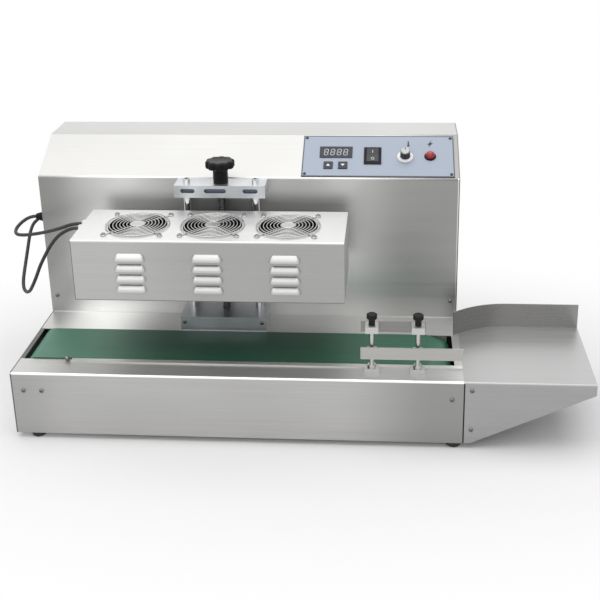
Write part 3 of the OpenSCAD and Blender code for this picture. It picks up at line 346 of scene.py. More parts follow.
def piece(name, bm, finish, body, smooth_angle=35):
    bmesh.ops.recalc_face_normals(bm, faces=bm.faces)
    mesh = bpy.data.meshes.new(name)
    bm.to_mesh(mesh)
    bm.free()
    mesh.shade_smooth()
    mesh.set_sharp_from_angle(angle=math.radians(smooth_angle))
    mesh.materials.append(finish.owner)
    made = bpy.data.objects.new(name, mesh)
    scene.collection.objects.link(made)
    if body:
        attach(made, body)
    return made


def facing(place, direction):
    """A place whose own upward direction points along the given one."""
    return Matrix.Translation(place) @ Vector(direction).to_track_quat("Z", "Y").to_matrix().to_4x4()


BASE_LENGTH = 780
HOUSING_FRONT, HOUSING_TOP, COVER_BACK = 240, 459, 423.5
BEND_HEIGHT = 405
SLOPE = math.atan2(54, 97)
slope_up = Vector((0, math.cos(SLOPE), math.sin(SLOPE)))
slope_out = Vector((0, -math.sin(SLOPE), math.cos(SLOPE)))
PANEL_LEFT, PANEL_WIDE, PANEL_TALL, PANEL_EDGE, PANEL_THICK = 491, 280, 103.02, 4, 1.5


def on_panel(x, y, high=0.0):
    """A point by its distance from the panel's left and lower edges and from the slope under the panel."""
    low = Vector((PANEL_LEFT + x, HOUSING_FRONT, BEND_HEIGHT))
    return at(*(low + slope_up * (PANEL_EDGE + y) + slope_out * high))


bright = Finish("screw_steel", Metallic=1.0)
turning = bright.grain((900, 900, 900), 2.0)
bright_tone = bright.mix(turning, (0.12, 0.12, 0.12, 1), (0.3, 0.3, 0.293, 1))
# Painted shade: the screws on the sloped face get a darker tone than the others.
above_slope = bright.along(slope_out, at(0, HOUSING_FRONT, BEND_HEIGHT)).rise(-4, -3.5)
behind_front = bright.along(BACK, at(0, HOUSING_FRONT, 0)).rise(1, 2)
bright.feed(
    Base_Color=bright.mix(above_slope * behind_front, bright_tone, (0.06, 0.065, 0.075, 1)),
    Roughness=0.2 + turning * 0.16,
    Normal=bright.bump(turning, 0.00005, 0.4),
)
HEAD_R, HEAD_T, SHANK_R = 0.004, 0.0022, 0.002
CASE_SCREW = (HEAD_R, HEAD_T, SHANK_R, 0.006)
PANEL_SCREW = (0.003, 0.00165, 0.0015, 0.003)
LIFT_X = 347
BRACKET_FRONT, BRACKET_TALL = 171, 27.5
STUD_X, STUD_Y = 88, 47
ON_BASE = [(x, 0, DECK - 34) for x in (21, 53, BASE_LENGTH - 19)]
ON_HOUSING = [(x, HOUSING_FRONT, DECK + 34) for x in (12.5, BASE_LENGTH - 12.5)]
ON_TRAY = [(BASE_LENGTH + 14, 0, DECK - drop) for drop in (16, 91)]
ON_COVER = [
    (x, COVER_BACK, z) for x in (14, BASE_LENGTH / 2, BASE_LENGTH - 14) for z in (DECK + 14, HOUSING_TOP - 14)
]
ON_BRACKET = [(x, BRACKET_FRONT, DECK + BRACKET_TALL * 0.63) for x in (LIFT_X - 72, LIFT_X + 72)]
screws = bmesh.new()
for spots, way in ((ON_BASE + ON_HOUSING + ON_TRAY, FRONT), (ON_COVER, BACK), (ON_BRACKET, FRONT)):
    for spot in spots:
        cross_screw(screws, facing(at(*spot), way), *CASE_SCREW)
for x in (6, PANEL_WIDE - 6):
    for y in (6, PANEL_TALL - 6):
        cross_screw(screws, facing(on_panel(x, y, PANEL_THICK), slope_out), *PANEL_SCREW)
turned(screws, [
    (0, -0.0015), (0.002, -0.0015), (0.002, 0), (0.00315, 0), (0.00315, 0.0036), (0.0043, 0.0042),
    (0.0045, 0.0054), (0.0041, 0.0071), (0.0029, 0.0084), (0.0014, 0.0089), (0, 0.009),
], Matrix.Translation(at(STUD_X, STUD_Y, DECK)))
case_screws = piece("cross_head_screws", screws, bright, "frame")
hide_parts("case_screws")

# Conveyor: an endless belt of green coated fabric runs over two steel rollers and a flat bed between them.
# Its coating is smooth with a faint cloth print; its joint is one slanting line across the lower run.
belt = Finish("belt_coating", Specular_IOR_Level=0.5)
cloth = belt.grain((900, 900, 900), 2.0)
streaks = belt.grain((3, 130, 60), 3.0)
scuffs = belt.grain((18, 40, 40), 4.0, 0.6)
belt_print = (streaks - 0.5) * 0.8 + 0.5 + (cloth - 0.5) * 0.3
belt_tone = belt.mix(belt_print, (0.012, 0.085, 0.046, 1), (0.026, 0.145, 0.085, 1))
along_belt = belt.along(RIGHTWARD, at(0, 0, 0))
# Painted sheen: the belt is paler towards its left end.
painted_sheen_end = along_belt.rise(270, 130) * 0.7
belt_tone = belt.mix(painted_sheen_end, belt_tone, (0.085, 0.235, 0.165, 1))
# Painted shadow: the belt darkens under the head.
painted_head_shadow = along_belt.rise(200, 280) * along_belt.rise(640, 520) * 0.4
belt_tone = belt.mix(painted_head_shadow, belt_tone, (0.004, 0.04, 0.02, 1))
belt_joint = abs(belt.coordinate("X") + belt.coordinate("Y") * 0.5 + 0.43).most(belt.coordinate("Z") - 0.1)
belt.feed(
    Base_Color=belt.mix(belt_joint.rise(0.0012, 0.0004) * 0.6, belt_tone, (0.008, 0.05, 0.028, 1)),
    Roughness=0.34 + scuffs * 0.16 + cloth * 0.06,
    Normal=belt.bump(cloth + belt_joint.rise(0.0004, 0.0014), 0.00012, 0.5),
)
dress(belt, "conveyor_belt")
roller_steel = brushed_steel("roller_steel", (0.5, 0.5, 0.5), 0.3, (1, 2.5, 1))
dress(roller_steel, "drive_roller", "idler_roller")
bed_metal = brushed_steel("bed_metal", (0.55, 0.55, 0.55), 0.45)
dress(bed_metal, "belt_bed", "roller_bearings")
bar_metal = brushed_steel("slide_bar_steel", (0.62, 0.62, 0.61), 0.32)
dress(bar_metal, "slide_bar")

# Gear motor: a painted cast motor and gearbox under the belt's drive end. It stands on a foot on the bottom
# plate and turns the drive roller.
motor_paint = Finish("motor_paint", Metallic=0.0)
pits = motor_paint.grain((400, 400, 400), 3.0)
motor_paint.feed(
    Base_Color=motor_paint.mix(pits, (0.035, 0.037, 0.042, 1), (0.085, 0.088, 0.095, 1)),
    Roughness=0.45 + pits * 0.2,
    Normal=motor_paint.bump(pits, 0.0003, 0.5),
)
dress(motor_paint, "gear_motor")

# Housing: one sheet folded into front, sloped face and roof, with welded end walls and a screwed rear cover.
# It is ground along its length like the base, and stands on the base's rear half.
housing_finish = brushed_steel("housing_sheet", (0.42, 0.417, 0.408), 0.42, (1.6, 1, 1), 120, 700, 1.0)
HOUSING_FOOT = at(BASE_LENGTH, HOUSING_FRONT, DECK)
SLOPE_FOOT = at(BASE_LENGTH, HOUSING_FRONT, BEND_HEIGHT)
above_foot = housing_finish.along(UPWARD, HOUSING_FOOT)
from_end = housing_finish.along(LEFTWARD, HOUSING_FOOT)
on_front = housing_finish.along(BACK, HOUSING_FOOT).rise(2.4, 2.0)
on_slope = housing_finish.along(slope_out, SLOPE_FOOT).rise(-2.4, -2.0)
on_roof = above_foot.rise(328.6, 329)
# Painted reflections: two upright pale bands across the front and a paler strip near its foot.
painted_sheen_left = from_end.rise(755, 640) * from_end.rise(440, 590) * 0.9
painted_sheen_middle = from_end.rise(450, 340) * from_end.rise(90, 200) * 0.5
painted_sheen_low = above_foot.rise(250, 40) * 0.35
housing_finish.over((painted_sheen_left + painted_sheen_middle + painted_sheen_low).least(1) * on_front, (0.8, 0.797, 0.785, 1))
# Painted shade: the front darkens towards its top and both ends.
painted_shade_top, painted_shade_left = above_foot.rise(60, 260) * 0.16, from_end.rise(700, 780) * 0.5
painted_shade_right = from_end.rise(220, 20) * 0.34
housing_finish.over((painted_shade_top + painted_shade_left + painted_shade_right) * on_front, (0.2, 0.2, 0.198, 1))
# Painted shade: the sloped face darkens towards its right end.
housing_finish.over(from_end.rise(150, 8) * on_slope * 0.62, (0.14, 0.14, 0.139, 1))
# Painted highlight: pale lines along the front's foot fold and its right edge.
painted_rim_highlight = above_foot.rise(1.8, 1.2).most(from_end.rise(3.7, 3.3))
housing_finish.over(painted_rim_highlight * on_front, (0.7, 0.7, 0.69, 1))
# Painted shade: a dark line at the right end's edge of the front, slope and roof.
painted_shade_corner = from_end.rise(1.8, 1.4) * on_front.most(on_slope).most(on_roof)
housing_finish.over(painted_shade_corner, (0.13, 0.13, 0.128, 1))
dress(housing_finish, "housing_shell", "rear_cover")
black_plastic = Finish("moulded_black", Specular_IOR_Level=0.13)
spark = black_plastic.grain((1500, 1500, 1500), 2.0)
haze = black_plastic.grain((60, 60, 60), 3.0)
black_plastic.feed(
    Base_Color=black_plastic.mix(haze, (0.006, 0.006, 0.007, 1), (0.014, 0.014, 0.016, 1)),
    Roughness=0.33 + haze * 0.14 + spark * 0.08,
    Normal=black_plastic.bump(spark, 0.00008, 0.5),
)
dress(black_plastic, "power_inlet", "cord_glands")

# Control panel: a blue-grey lacquered plate over a cut-out in the slope, with a thin dark printed border and
# printed signs, held by four small screws.
panel_paint = Finish("panel_lacquer")
across = panel_paint.along(RIGHTWARD, on_panel(0, 0))
upward = panel_paint.along(slope_up, on_panel(0, 0))
rim = across.least(PANEL_WIDE - across).least(upward).least(PANEL_TALL - upward)
speckle = panel_paint.grain((700, 700, 700), 2.0)
lacquer = panel_paint.mix(speckle, (0.312, 0.36, 0.44, 1), (0.362, 0.413, 0.496, 1))
panel_paint.feed(
    Base_Color=panel_paint.mix(rim.rise(2.4, 1.9), lacquer, (0.07, 0.08, 0.1, 1)),
    Roughness=0.36 + speckle * 0.14,
    Normal=panel_paint.bump(speckle, 0.00006, 0.4),
)
dress(panel_paint, "control_panel")


def flat_shape(bm, outline, lift, thick, to_place):
    """A thin printed or glued shape: outline points in a face's own two directions, from lift up."""
    low = [bm.verts.new(to_place(x, y, lift)) for x, y in outline]
    high = [bm.verts.new(to_place(x, y, lift + thick)) for x, y in outline]
    bm.faces.new(high)
    bm.faces.new(low[::-1])
    for i in range(len(outline)):
        j = (i + 1) % len(outline)
        bm.faces.new((low[i], low[j], high[j], high[i]))


def disc(x, y, radius, sides=20):
    turns = [2 * math.pi * i / sides for i in range(sides)]
    return [(x + radius * math.cos(a), y + radius * math.sin(a)) for a in turns]


def oblong(x0, y0, x1, y1):
    return [(x0, y0), (x1, y0), (x1, y1), (x0, y1)]


def printed_ink(name, dark, pale):
    ink = Finish(name)
    dots = ink.grain((1800, 1800, 1800), 2.0)
    return ink.feed(Base_Color=ink.mix(dots, dark + (1,), pale + (1,)), Roughness=0.4 + dots * 0.15)


dark_ink = printed_ink("sign_ink", (0.004, 0.006, 0.012), (0.012, 0.014, 0.022))
PRINT_T = 0.08
DIAL_X, DIAL_Y = 190, 49
LAMP_X = 236
signs = bmesh.new()
heat_x, sign_y = DIAL_X + 6, DIAL_Y + 33.5
flat_shape(signs, disc(heat_x, sign_y - 4, 2.7), PANEL_THICK, PRINT_T, on_panel)
stem = oblong(heat_x - 1.3, sign_y - 3, heat_x + 1.3, sign_y + 7)
flat_shape(signs, stem, PANEL_THICK, PRINT_T * 0.8, on_panel)
ZIGZAG = [(3.6, 9), (-5.6, -2), (-1.2, -2), (-3.2, -9), (5.8, 2.8), (1.5, 2.8)]
flat_shape(signs, [(LAMP_X + x, sign_y + y) for x, y in ZIGZAG], PANEL_THICK, PRINT_T, on_panel)
piece("panel_signs", signs, dark_ink, "frame")

# Display: a smoked plastic window in the panel with four seven-stroke digits behind its face, and a key with
# an arrow below each end of it.
smoked = Finish("smoked_window", Specular_IOR_Level=0.2, Coat_Weight=0.08, Coat_Roughness=0.05)
smoke = smoked.grain((300, 300, 300), 2.0)
smoked.feed(
    Base_Color=smoked.mix(smoke, (0.024, 0.029, 0.042, 1), (0.036, 0.042, 0.058, 1)),
    Roughness=0.16 + smoke * 0.08,
)
dress(smoked, "display_window")
DISPLAY_X, DISPLAY_Y = 62, 60
DIGIT_WIDE, DIGIT_TALL, STROKE, STROKE_GAP, DIGIT_SLANT = 8.0, 16.0, 1.4, 0.4, 0.7
DIGIT_LIFT = PANEL_THICK + 1.0
LYING_STROKES = [(0, 1), (0, 0), (0, -1)]
STANDING_STROKES = [(-1, 0.5), (1, 0.5), (-1, -0.5), (1, -0.5)]
digit_ink = printed_ink("digit_light", (0.46, 0.46, 0.46), (0.62, 0.62, 0.61))
digits = bmesh.new()
for middle in (-18.2, -6.2, 5.8, 17.8):
    for x0, y0 in LYING_STROKES + STANDING_STROKES:
        lying = (x0, y0) in LYING_STROKES
        cx = DISPLAY_X + middle + x0 * (DIGIT_WIDE - STROKE) / 2 + y0 * DIGIT_SLANT
        cy = DISPLAY_Y + y0 * (DIGIT_TALL - STROKE) / 2
        half = ((DIGIT_WIDE - STROKE) / 2 if lying else (DIGIT_TALL - STROKE) / 4) - STROKE_GAP
        h = STROKE / 2
        bar = [(-half, 0), (-half + h, -h), (half - h, -h), (half, 0), (half - h, h), (-half + h, h)]
        outline = [(cx + u, cy + v) if lying else (cx - v, cy + u) for u, v in bar]
        flat_shape(digits, outline, DIGIT_LIFT, PRINT_T, on_panel)
piece("display_digits", digits, digit_ink, "frame")
key_plastic = Finish("key_plastic", Specular_IOR_Level=0.25)
key_dust = key_plastic.grain((900, 900, 900), 2.0)
key_plastic.feed(
    Base_Color=key_plastic.mix(key_dust, (0.034, 0.038, 0.05, 1), (0.056, 0.062, 0.078, 1)),
    Roughness=0.4 + key_dust * 0.15,
    Normal=key_plastic.bump(key_dust, 0.00006, 0.4),
)
dress(key_plastic, "up_button", "down_button")
arrow_ink = printed_ink("arrow_ink", (0.78, 0.78, 0.78), (0.88, 0.88, 0.88))
KEY_Y, KEY_HIGH, ARROW = 27, 2, 3.6
for name, key_x, sense, body in (("up_arrow", 48.5, 1, "up_key"), ("down_arrow", 75.5, -1, "down_key")):
    arrow = bmesh.new()
    tip, foot = KEY_Y + sense * ARROW * 0.8, KEY_Y - sense * ARROW * 0.7
    outline = [(key_x, tip), (key_x - sense * ARROW, foot), (key_x + sense * ARROW, foot)]
    flat_shape(arrow, outline, PANEL_THICK + KEY_HIGH, PRINT_T, on_panel)
    piece(name, arrow, arrow_ink, body)

# Rocker switch: a black moulded frame snapped into the panel and a rocker on a pin, printed with a bar for on
# and a ring for off. At rest its on side stands up.
dress(black_plastic, "switch_bezel")
rocker_plastic = Finish("rocker_plastic", Specular_IOR_Level=0.3)
rocker_dust = rocker_plastic.grain((900, 900, 900), 2.0)
rocker_plastic.feed(
    Base_Color=rocker_plastic.mix(rocker_dust, (0.035, 0.036, 0.04, 1), (0.06, 0.061, 0.066, 1)),
    Roughness=0.36 + rocker_dust * 0.12,
    Normal=rocker_plastic.bump(rocker_dust, 0.00006, 0.4),
)
dress(rocker_plastic, "switch_rocker")
SWITCH_X, SWITCH_Y, ROCKER_TILT = 130, 51, math.radians(9)
ROCKER_REACH, ROCKER_MIDDLE, ROCKER_END = 16, PANEL_THICK + 3, PANEL_THICK + 5.5
mark_ink = printed_ink("rocker_ink", (0.55, 0.55, 0.55), (0.7, 0.7, 0.7))


def on_rocker(x, y, high):
    """A point on the rocker's face, by its distance from the pin across and along, tilted with the rocker."""
    face = ROCKER_MIDDLE + (ROCKER_END - ROCKER_MIDDLE) * abs(y) / ROCKER_REACH + high
    c, s = math.cos(ROCKER_TILT), math.sin(ROCKER_TILT)
    return on_panel(SWITCH_X + x, SWITCH_Y + y * c - face * s, y * s + face * c)


marks = bmesh.new()
flat_shape(marks, oblong(-0.6, 5, 0.6, 11), 0, PRINT_T, on_rocker)
RING_SIDES, RING_Y = 24, -7.5
ring_outer, ring_inner = disc(0, RING_Y, 3.1, RING_SIDES), disc(0, RING_Y, 2.1, RING_SIDES)
for i in range(RING_SIDES):
    j = (i + 1) % RING_SIDES
    flat_shape(marks, [ring_outer[i], ring_outer[j], ring_inner[j], ring_inner[i]], 0, PRINT_T, on_rocker)
bmesh.ops.remove_doubles(marks, verts=marks.verts, dist=1e-6)
piece("rocker_marks", marks, mark_ink, "rocker")

# Speed knob: a fluted black knob with a pale skirt and a bright cap, pressed on the shaft of a potentiometer
# behind the panel. A dark line on the cap points to the setting.
dial_finish = Finish("dial_parts")
dial_height = dial_finish.along(slope_out, on_panel(DIAL_X, DIAL_Y, PANEL_THICK + 0.6))
dial_side = dial_finish.along(RIGHTWARD, on_panel(DIAL_X, DIAL_Y))
dial_up = dial_finish.along(slope_up, on_panel(DIAL_X, DIAL_Y))
dial_spot = dial_finish.grain((900, 900, 900), 2.0)
is_skirt = dial_height.rise(2.75, 2.6)
is_cap = dial_height.rise(15.6, 15.8)
is_line = abs(dial_side).rise(0.8, 0.6) * dial_up.rise(0.5, 1.0) * dial_height.rise(17.4, 17.6)
body_tone = dial_finish.mix(dial_spot, (0.012, 0.012, 0.013, 1), (0.028, 0.028, 0.03, 1))
with_skirt = dial_finish.mix(is_skirt, body_tone, (0.86, 0.86, 0.85, 1))
with_cap = dial_finish.mix(is_cap, with_skirt, (0.27, 0.27, 0.27, 1))
dial_finish.feed(
    Base_Color=dial_finish.mix(is_line, with_cap, (0.02, 0.02, 0.02, 1)),
    Metallic=is_cap * (1 - is_line),
    Roughness=0.36 + dial_spot * 0.1 - is_cap * 0.12,
)
dress(dial_finish, "speed_knob")
turned_metal = brushed_steel("pot_can", (0.55, 0.55, 0.53), 0.35)
dress(turned_metal, "potentiometer")

# Pilot lamp: a domed lens of clear red plastic in a dark moulded ring. The ring is pressed into a hole in the
# panel, and the lens into the ring.
lens = Finish("red_lens", Coat_Weight=0.3, Coat_Roughness=0.04)
swirl = lens.grain((350, 350, 350), 3.0)
lens.feed(
    Base_Color=lens.mix(swirl, (0.27, 0.004, 0.009, 1), (0.42, 0.01, 0.016, 1)),
    Roughness=0.14 + swirl * 0.1,
)
dress(lens, "lamp_lens")
dress(black_plastic, "lamp_bezel")

# Electronics: green lacquered boards with pale tracks inside the housing, which run the display and the coil.
# The finned aluminium sink beside them is dressed with the lift's blocks.
board = Finish("board_lacquer")
tracks = board.add(
    "ShaderNodeTexVoronoi", {"feature": "DISTANCE_TO_EDGE"}, {"Vector": board.place(), "Scale": 160.0}
)
board.feed(
    Base_Color=board.mix(tracks.rise(0.04, 0.08), (0.3, 0.3, 0.16, 1), (0.012, 0.11, 0.035, 1)),
    Roughness=0.3 + tracks * 0.2,
)
dress(board, "control_board", "inverter_board")

# Lift: machined aluminium blocks at the housing's front carry two chrome rods and a black threaded screw
# that ends in a lobed hand knob.


def machined(name):
    metal = Finish(name, Metallic=0.85)
    cuts = metal.grain((30, 900, 900), 2.0)
    patches = metal.grain((25, 25, 25), 3.0)
    shade = (patches - 0.5) * 0.8 + (cuts - 0.5) * 0.5 + 0.5
    return metal.feed(
        Base_Color=metal.mix(shade, (0.48, 0.5, 0.52, 1), (0.76, 0.78, 0.8, 1)),
        Roughness=0.22 + patches * 0.16 + cuts * 0.08,
        Normal=metal.bump(cuts, 0.00006, 0.5),
    )


dress(machined("machined_aluminium"), "bottom_bracket", "lift_carriage", "heat_sink")
ROD_Y = 218
PLATE_FRONT, SLOT_HEIGHT = 197, 394
plate_metal = machined("top_plate_aluminium")
# Painted shade: the walls inside the top plate's slots get a dark blue-grey tone.
slot_wall_shade = plate_metal.along(BACK, at(0, PLATE_FRONT, 0)).rise(0.3, 0.6)
slot_band = abs(plate_metal.along(UPWARD, at(0, 0, SLOT_HEIGHT))).rise(4.3, 4.1)
slot_reach = abs(plate_metal.along(RIGHTWARD, at(LIFT_X, 0, 0))).rise(74, 73)
dress(plate_metal.over(slot_wall_shade * slot_band * slot_reach, (0.17, 0.195, 0.235, 1)), "lift_top_plate")
chrome = Finish("chrome_plate", Metallic=1.0)
rub = chrome.grain((500, 500, 40), 3.0)
chrome.feed(
    Base_Color=chrome.mix(rub, (0.62, 0.62, 0.63, 1), (0.78, 0.78, 0.79, 1)),
    Roughness=0.07 + rub * 0.09,
)
dress(chrome, "guide_rods", "plate_bolts")
SCREW_LOW, SCREW_HIGH, SCREW_R = 143.5, 432, 7.0
THREAD_DEEP, THREAD_LEAD, THREAD_STARTS = 1.3, 8.0, 2
oiled = Finish("oiled_steel", Metallic=1.0)
oil = oiled.grain((300, 300, 300), 3.0)
oiled.feed(
    Base_Color=oiled.mix(oil, (0.06, 0.06, 0.062, 1), (0.16, 0.16, 0.165, 1)),
    Roughness=0.26 + oil * 0.2,
)


def thread_radius(turns):
    """Trapezoid thread: crest, flank, root, flank over one pitch."""
    t = turns % 1.0
    corner = [(0, 0), (0.28, 0), (0.46, 1), (0.82, 1), (1, 0)]
    for (t0, d0), (t1, d1) in zip(corner, corner[1:]):
        if t <= t1:
            return SCREW_R - THREAD_DEEP * (d0 + (d1 - d0) * (t - t0) / (t1 - t0))


thread = bmesh.new()
SCREW_SIDES, STEP = 32, 0.4
rows = int((SCREW_HIGH - SCREW_LOW) / STEP) + 1
grid = []
for i in range(rows):
    z = SCREW_LOW + (SCREW_HIGH - SCREW_LOW) * i / (rows - 1)
    ring = []
    for k in range(SCREW_SIDES):
        a = 2 * math.pi * k / SCREW_SIDES
        r = thread_radius(THREAD_STARTS * (z / THREAD_LEAD - k / SCREW_SIDES))
        ring.append(thread.verts.new(at(LIFT_X + r * math.cos(a), ROD_Y + r * math.sin(a), z)))
    grid.append(ring)
for low, high in zip(grid, grid[1:]):
    for k in range(SCREW_SIDES):
        m = (k + 1) % SCREW_SIDES
        thread.faces.new((low[k], low[m], high[m], high[k]))
thread.faces.new(grid[0][::-1])
thread.faces.new(grid[-1])
lead_screw = piece("threaded_screw", thread, oiled, "lift_screw", 50)
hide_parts("lead_screw")

# The hand knob's profile gives each ring's radius, its height and how deep the hollows between lobes are.
KNOB_R, NECK_R, KNOB_FOOT, LOBES, LOBE_DEEP = 26.5, 13.5, 404.5, 10, 3.6
knob = bmesh.new()
knob_profile = [
    (0, 0, 0), (NECK_R, 0, 0), (NECK_R, 22, 0), (NECK_R + 0.6, 24.5, 0), (NECK_R + 2.6, 26.8, 0),
    (NECK_R + 6, 27.9, 0.1), (KNOB_R - 4, 28, 0.5), (KNOB_R - 1.6, 28.3, 1), (KNOB_R - 0.5, 29.2, 1),
    (KNOB_R, 30.6, 1), (KNOB_R, 38.4, 1), (KNOB_R - 0.5, 40, 1), (KNOB_R - 1.7, 41.2, 1),
    (KNOB_R - 4, 41.9, 0.7), (KNOB_R - 8, 42, 0.2), (KNOB_R - 11, 41.6, 0), (KNOB_R - 12.5, 41.2, 0),
    (0, 41.2, 0),
]
KNOB_SIDES = 160
knob_rings = []
for radius, height, lobe in knob_profile:
    ring = []
    for k in range(KNOB_SIDES if radius else 1):
        a = 2 * math.pi * k / KNOB_SIDES
        wave = (0.5 + 0.5 * math.cos(LOBES * a)) ** 2.2
        r = radius - lobe * LOBE_DEEP * wave
        ring.append(knob.verts.new(at(LIFT_X + r * math.cos(a), ROD_Y + r * math.sin(a), KNOB_FOOT + height)))
    knob_rings.append(ring)
for low, high in zip(knob_rings, knob_rings[1:]):
    for k in range(KNOB_SIDES):
        m = (k + 1) % KNOB_SIDES
        corners = [low[k % len(low)], low[m % len(low)], high[m % len(high)], high[k % len(high)]]
        knob.faces.new([v for i, v in enumerate(corners) if v not in corners[:i]])
turned(knob, [(0, 0), (0.0022, 0), (0.0022, 0.0006), (0.0014, 0.0006), (0.0014, -0.0006), (0, -0.0006)],
       facing(at(LIFT_X + 3, ROD_Y - 13.2, KNOB_FOOT + 6), FRONT), 12)
lift_knob = piece("lobed_hand_knob", knob, black_plastic, "lift_screw")
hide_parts("lift_knob")

# Sealing head: a folded stainless cover with pressed louvres hangs on a carriage that runs on the rods. Under
# it lie the coil and its ferrite bars on a black plate, and three fans blow through wire guards in its top.
head_finish = brushed_steel("head_sheet", (0.49, 0.487, 0.477), 0.42, (2.5, 1, 1), 190, 900)
HEAD_CORNER = at(115, 43, 249)
from_head_end = head_finish.along(RIGHTWARD, HEAD_CORNER)
above_head_foot = head_finish.along(UPWARD, HEAD_CORNER)
behind_face = head_finish.along(BACK, HEAD_CORNER)
on_face, on_louvre = behind_face.rise(0.9, 0.5), behind_face.rise(-0.3, -0.8)
on_head_top = above_head_foot.rise(109.2, 109.6)
# Painted light: the head's top and its louvres are laid over with a pale tone, as if lit from above.
PAINTED_LIGHT_TONE = (0.86, 0.86, 0.85, 1)
# Painted shade: the head's front darkens towards its right end.
head_finish.over(from_head_end.rise(60, 230) * on_face * 0.36, (0.26, 0.258, 0.252, 1))
head_finish.over(on_head_top * 0.5, PAINTED_LIGHT_TONE)
head_finish.over(on_louvre * 0.3, PAINTED_LIGHT_TONE)
# Painted shade: dark lines along the head front's left and lower edges.
painted_head_edge_shade = from_head_end.least(above_head_foot).rise(1.3, 0.8)
head_finish.over(painted_head_edge_shade * on_face, (0.14, 0.14, 0.138, 1))
dress(head_finish, "head_shell")
dress(black_plastic, "head_base")
copper = Finish("coil_copper", Metallic=1.0)
wires = copper.grain((300, 300, 1500), 2.0)
copper.feed(
    Base_Color=copper.mix(wires, (0.42, 0.16, 0.06, 1), (0.72, 0.33, 0.15, 1)),
    Roughness=0.3 + wires * 0.15,
)
dress(copper, "induction_coil")
dress(motor_paint, "ferrite_bars")
FAN_SIDES = ("left", "middle", "right")
dress(black_plastic, *(f"fan_{part}_{side}" for part in ("frame", "rotor") for side in FAN_SIDES))
guard_wire = Finish("guard_wire", Metallic=1.0)
plating = guard_wire.grain((700, 700, 700), 2.0)
guard_wire.feed(
    Base_Color=guard_wire.mix(plating, (0.4, 0.4, 0.395, 1), (0.58, 0.58, 0.57, 1)),
    Roughness=0.22 + plating * 0.12,
)
dress(guard_wire, *(f"fan_guard_{side}" for side in FAN_SIDES))
HEAD_TOP, GUARD_LIFT = 359, 2
FAN_PITCH, FAN_Y, FAN_HOLE = 132, 116, 48.5
GUARD_SCREW = (HEAD_R, HEAD_T, SHANK_R, 0.0245)
guard_heads = bmesh.new()
for fan in (LIFT_X - FAN_PITCH, LIFT_X, LIFT_X + FAN_PITCH):
    for x in (-FAN_HOLE, FAN_HOLE):
        for y in (-FAN_HOLE, FAN_HOLE):
            place = Matrix.Translation(at(fan + x, FAN_Y + y, HEAD_TOP + GUARD_LIFT))
            cross_screw(guard_heads, place, *GUARD_SCREW)
guard_screws = piece("guard_cross_screws", guard_heads, bright, "head")
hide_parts("guard_screws")

# Cords: two black rubber leads run from screwed glands in the housing's left wall to pale grommets in the
# head's left wall. Each is slack enough for the head's travel.
grommet = Finish("grommet_nylon")
nylon = grommet.grain((500, 500, 500), 2.0)
grommet.feed(
    Base_Color=grommet.mix(nylon, (0.66, 0.66, 0.64, 1), (0.8, 0.8, 0.78, 1)),
    Roughness=0.42 + nylon * 0.12,
)
dress(grommet, "head_grommets")
jacket = Finish("cord_jacket")
skin = jacket.grain((600, 600, 600), 2.0)
jacket.feed(
    Base_Color=jacket.mix(skin, (0.012, 0.012, 0.013, 1), (0.03, 0.03, 0.032, 1)),
    Roughness=0.42 + skin * 0.16,
    Normal=jacket.bump(skin, 0.00008, 0.4),
)
CORD_R, CORD_SIDES, SPAN_STEPS = 0.0032, 14, 4
cord_routes = {
    "upper_cord": [
        (-10, 257, 319), (-22, 257, 319), (-34, 254, 316), (-43, 246, 311), (-48, 234, 306), (-47, 220, 303),
        (-40, 208, 302), (-28, 199, 304), (-12, 191, 308), (8, 182, 314), (28, 173, 321), (48, 164, 329),
        (66, 156, 337), (82, 151, 344), (96, 150, 347), (110, 150, 347),
    ],
    "lower_cord": [
        (-10, 330, 290), (-21, 330, 290), (-30, 329, 290), (-39, 323, 288), (-46, 312, 282), (-48, 299, 273),
        (-48, 286, 262), (-47, 272, 250), (-46, 258, 238), (-45, 244, 226), (-44, 230, 214), (-42, 216, 203),
        (-37, 202, 195), (-28, 189, 193), (-17, 178, 200), (-6, 168, 216), (6, 160, 238), (18, 152, 262),
        (32, 145, 286), (47, 138, 309), (63, 133, 328), (80, 129, 341), (96, 128, 347), (110, 128, 347),
    ],
}


def smooth_line(points, parts):
    """A line through the points with parts steps in each span, with no corner at a point."""
    ends = [points[0] * 2 - points[1]] + points + [points[-1] * 2 - points[-2]]
    line = []
    for a, b, c, d in zip(ends, ends[1:], ends[2:], ends[3:]):
        for i in range(parts):
            t = i / parts
            line.append(0.5 * (
                2 * b + (c - a) * t + (2 * a - 5 * b + 4 * c - d) * t * t + (3 * b - a - 3 * c + d) * t ** 3
            ))
    return line + [points[-1]]


def tube(bm, line, radius, sides):
    """A round tube along a line, closed at both ends."""
    turns = [2 * math.pi * k / sides for k in range(sides)]
    normal = Vector(UPWARD)
    last = None
    for i, spot in enumerate(line):
        ahead = (line[min(i + 1, len(line) - 1)] - line[max(i - 1, 0)]).normalized()
        normal = (normal - ahead * normal.dot(ahead)).normalized()
        side = ahead.cross(normal)
        ring = [bm.verts.new(spot + radius * (math.cos(a) * normal + math.sin(a) * side)) for a in turns]
        if last is None:
            bm.faces.new(ring)
        else:
            for k in range(sides):
                m = (k + 1) % sides
                bm.faces.new((last[k], last[m], ring[m], ring[k]))
        last = ring
    bm.faces.new(last[::-1])


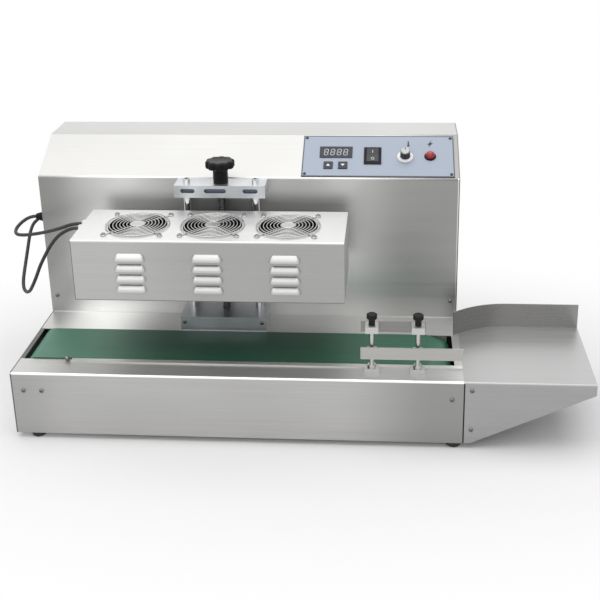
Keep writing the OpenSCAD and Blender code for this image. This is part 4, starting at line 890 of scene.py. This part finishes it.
for node, route in cord_routes.items():
    cord_line = smooth_line([at(*spot) for spot in route], SPAN_STEPS)
    cord_mesh = bmesh.new()
    tube(cord_mesh, cord_line, CORD_R, CORD_SIDES)
    cord = piece(node.replace("_cord", "_head_lead"), cord_mesh, jacket, None)
    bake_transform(cord)
    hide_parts(node)
    cord_length = sum((b - a).length for a, b in zip(cord_line, cord_line[1:]))

# Outfeed tray: a folded stainless tray with two gussets on the base's right end, and a bent strip on it that
# leads bottles off the belt.
tray_finish = brushed_steel("tray_sheet", (0.387, 0.385, 0.384), 0.38, (3, 1, 1), 150, 800)
TRAY_CORNER = at(BASE_LENGTH, 0, DECK)
# Painted shade: the front gusset's strip beside the base is near black, standing for the gap between them.
beside_base = tray_finish.along(RIGHTWARD, TRAY_CORNER).rise(2.5, 2.3)
on_gusset = tray_finish.along(BACK, TRAY_CORNER).rise(3.4, 3.1)
below_fold = tray_finish.along(UPWARD, TRAY_CORNER).rise(-2.5, -3)
dress(tray_finish.over(beside_base * on_gusset * below_fold, (0.03, 0.03, 0.03, 1)), "tray")
strip_finish = brushed_steel("curved_strip", (0.31, 0.308, 0.302), 0.26, (6, 6, 1), 500, 1600, 1.0)
dress(strip_finish, "curved_rail")

# Bottle guide: two polished clamp rods with black knobs stand on feet that slide along the bar, and hold two
# steel strips in clamp blocks.
dress(brushed_steel("lower_strip", (0.46, 0.455, 0.44), 0.36), "lower_rail")
# Painted shade: the upper strip is toned far darker than the lower strip of the same steel.
dress(brushed_steel("upper_strip_shaded", (0.27, 0.268, 0.26), 0.36), "upper_rail")
dress(brushed_steel("guide_blocks", (0.58, 0.576, 0.565), 0.3), "rail_blocks", "guide_feet")
clamp_finish = Finish("clamp_rod_parts", Specular_IOR_Level=0.15)
clamp_height = clamp_finish.coordinate("Z") * 1000 - DECK
KNOB_LOW = 88.5
knob_part = clamp_height.rise(KNOB_LOW, KNOB_LOW + 0.2)
clamp_grain = clamp_finish.grain((700, 700, 100), 2.0)
rod_tone = clamp_finish.mix(clamp_grain, (0.46, 0.46, 0.46, 1), (0.6, 0.6, 0.6, 1))
clamp_finish.feed(
    Base_Color=clamp_finish.mix(knob_part, rod_tone, (0.014, 0.014, 0.016, 1)),
    Metallic=1 - knob_part,
    Roughness=0.1 + clamp_grain * 0.08 + knob_part * 0.26,
)
dress(clamp_finish, "clamp_rod_left", "clamp_rod_right")
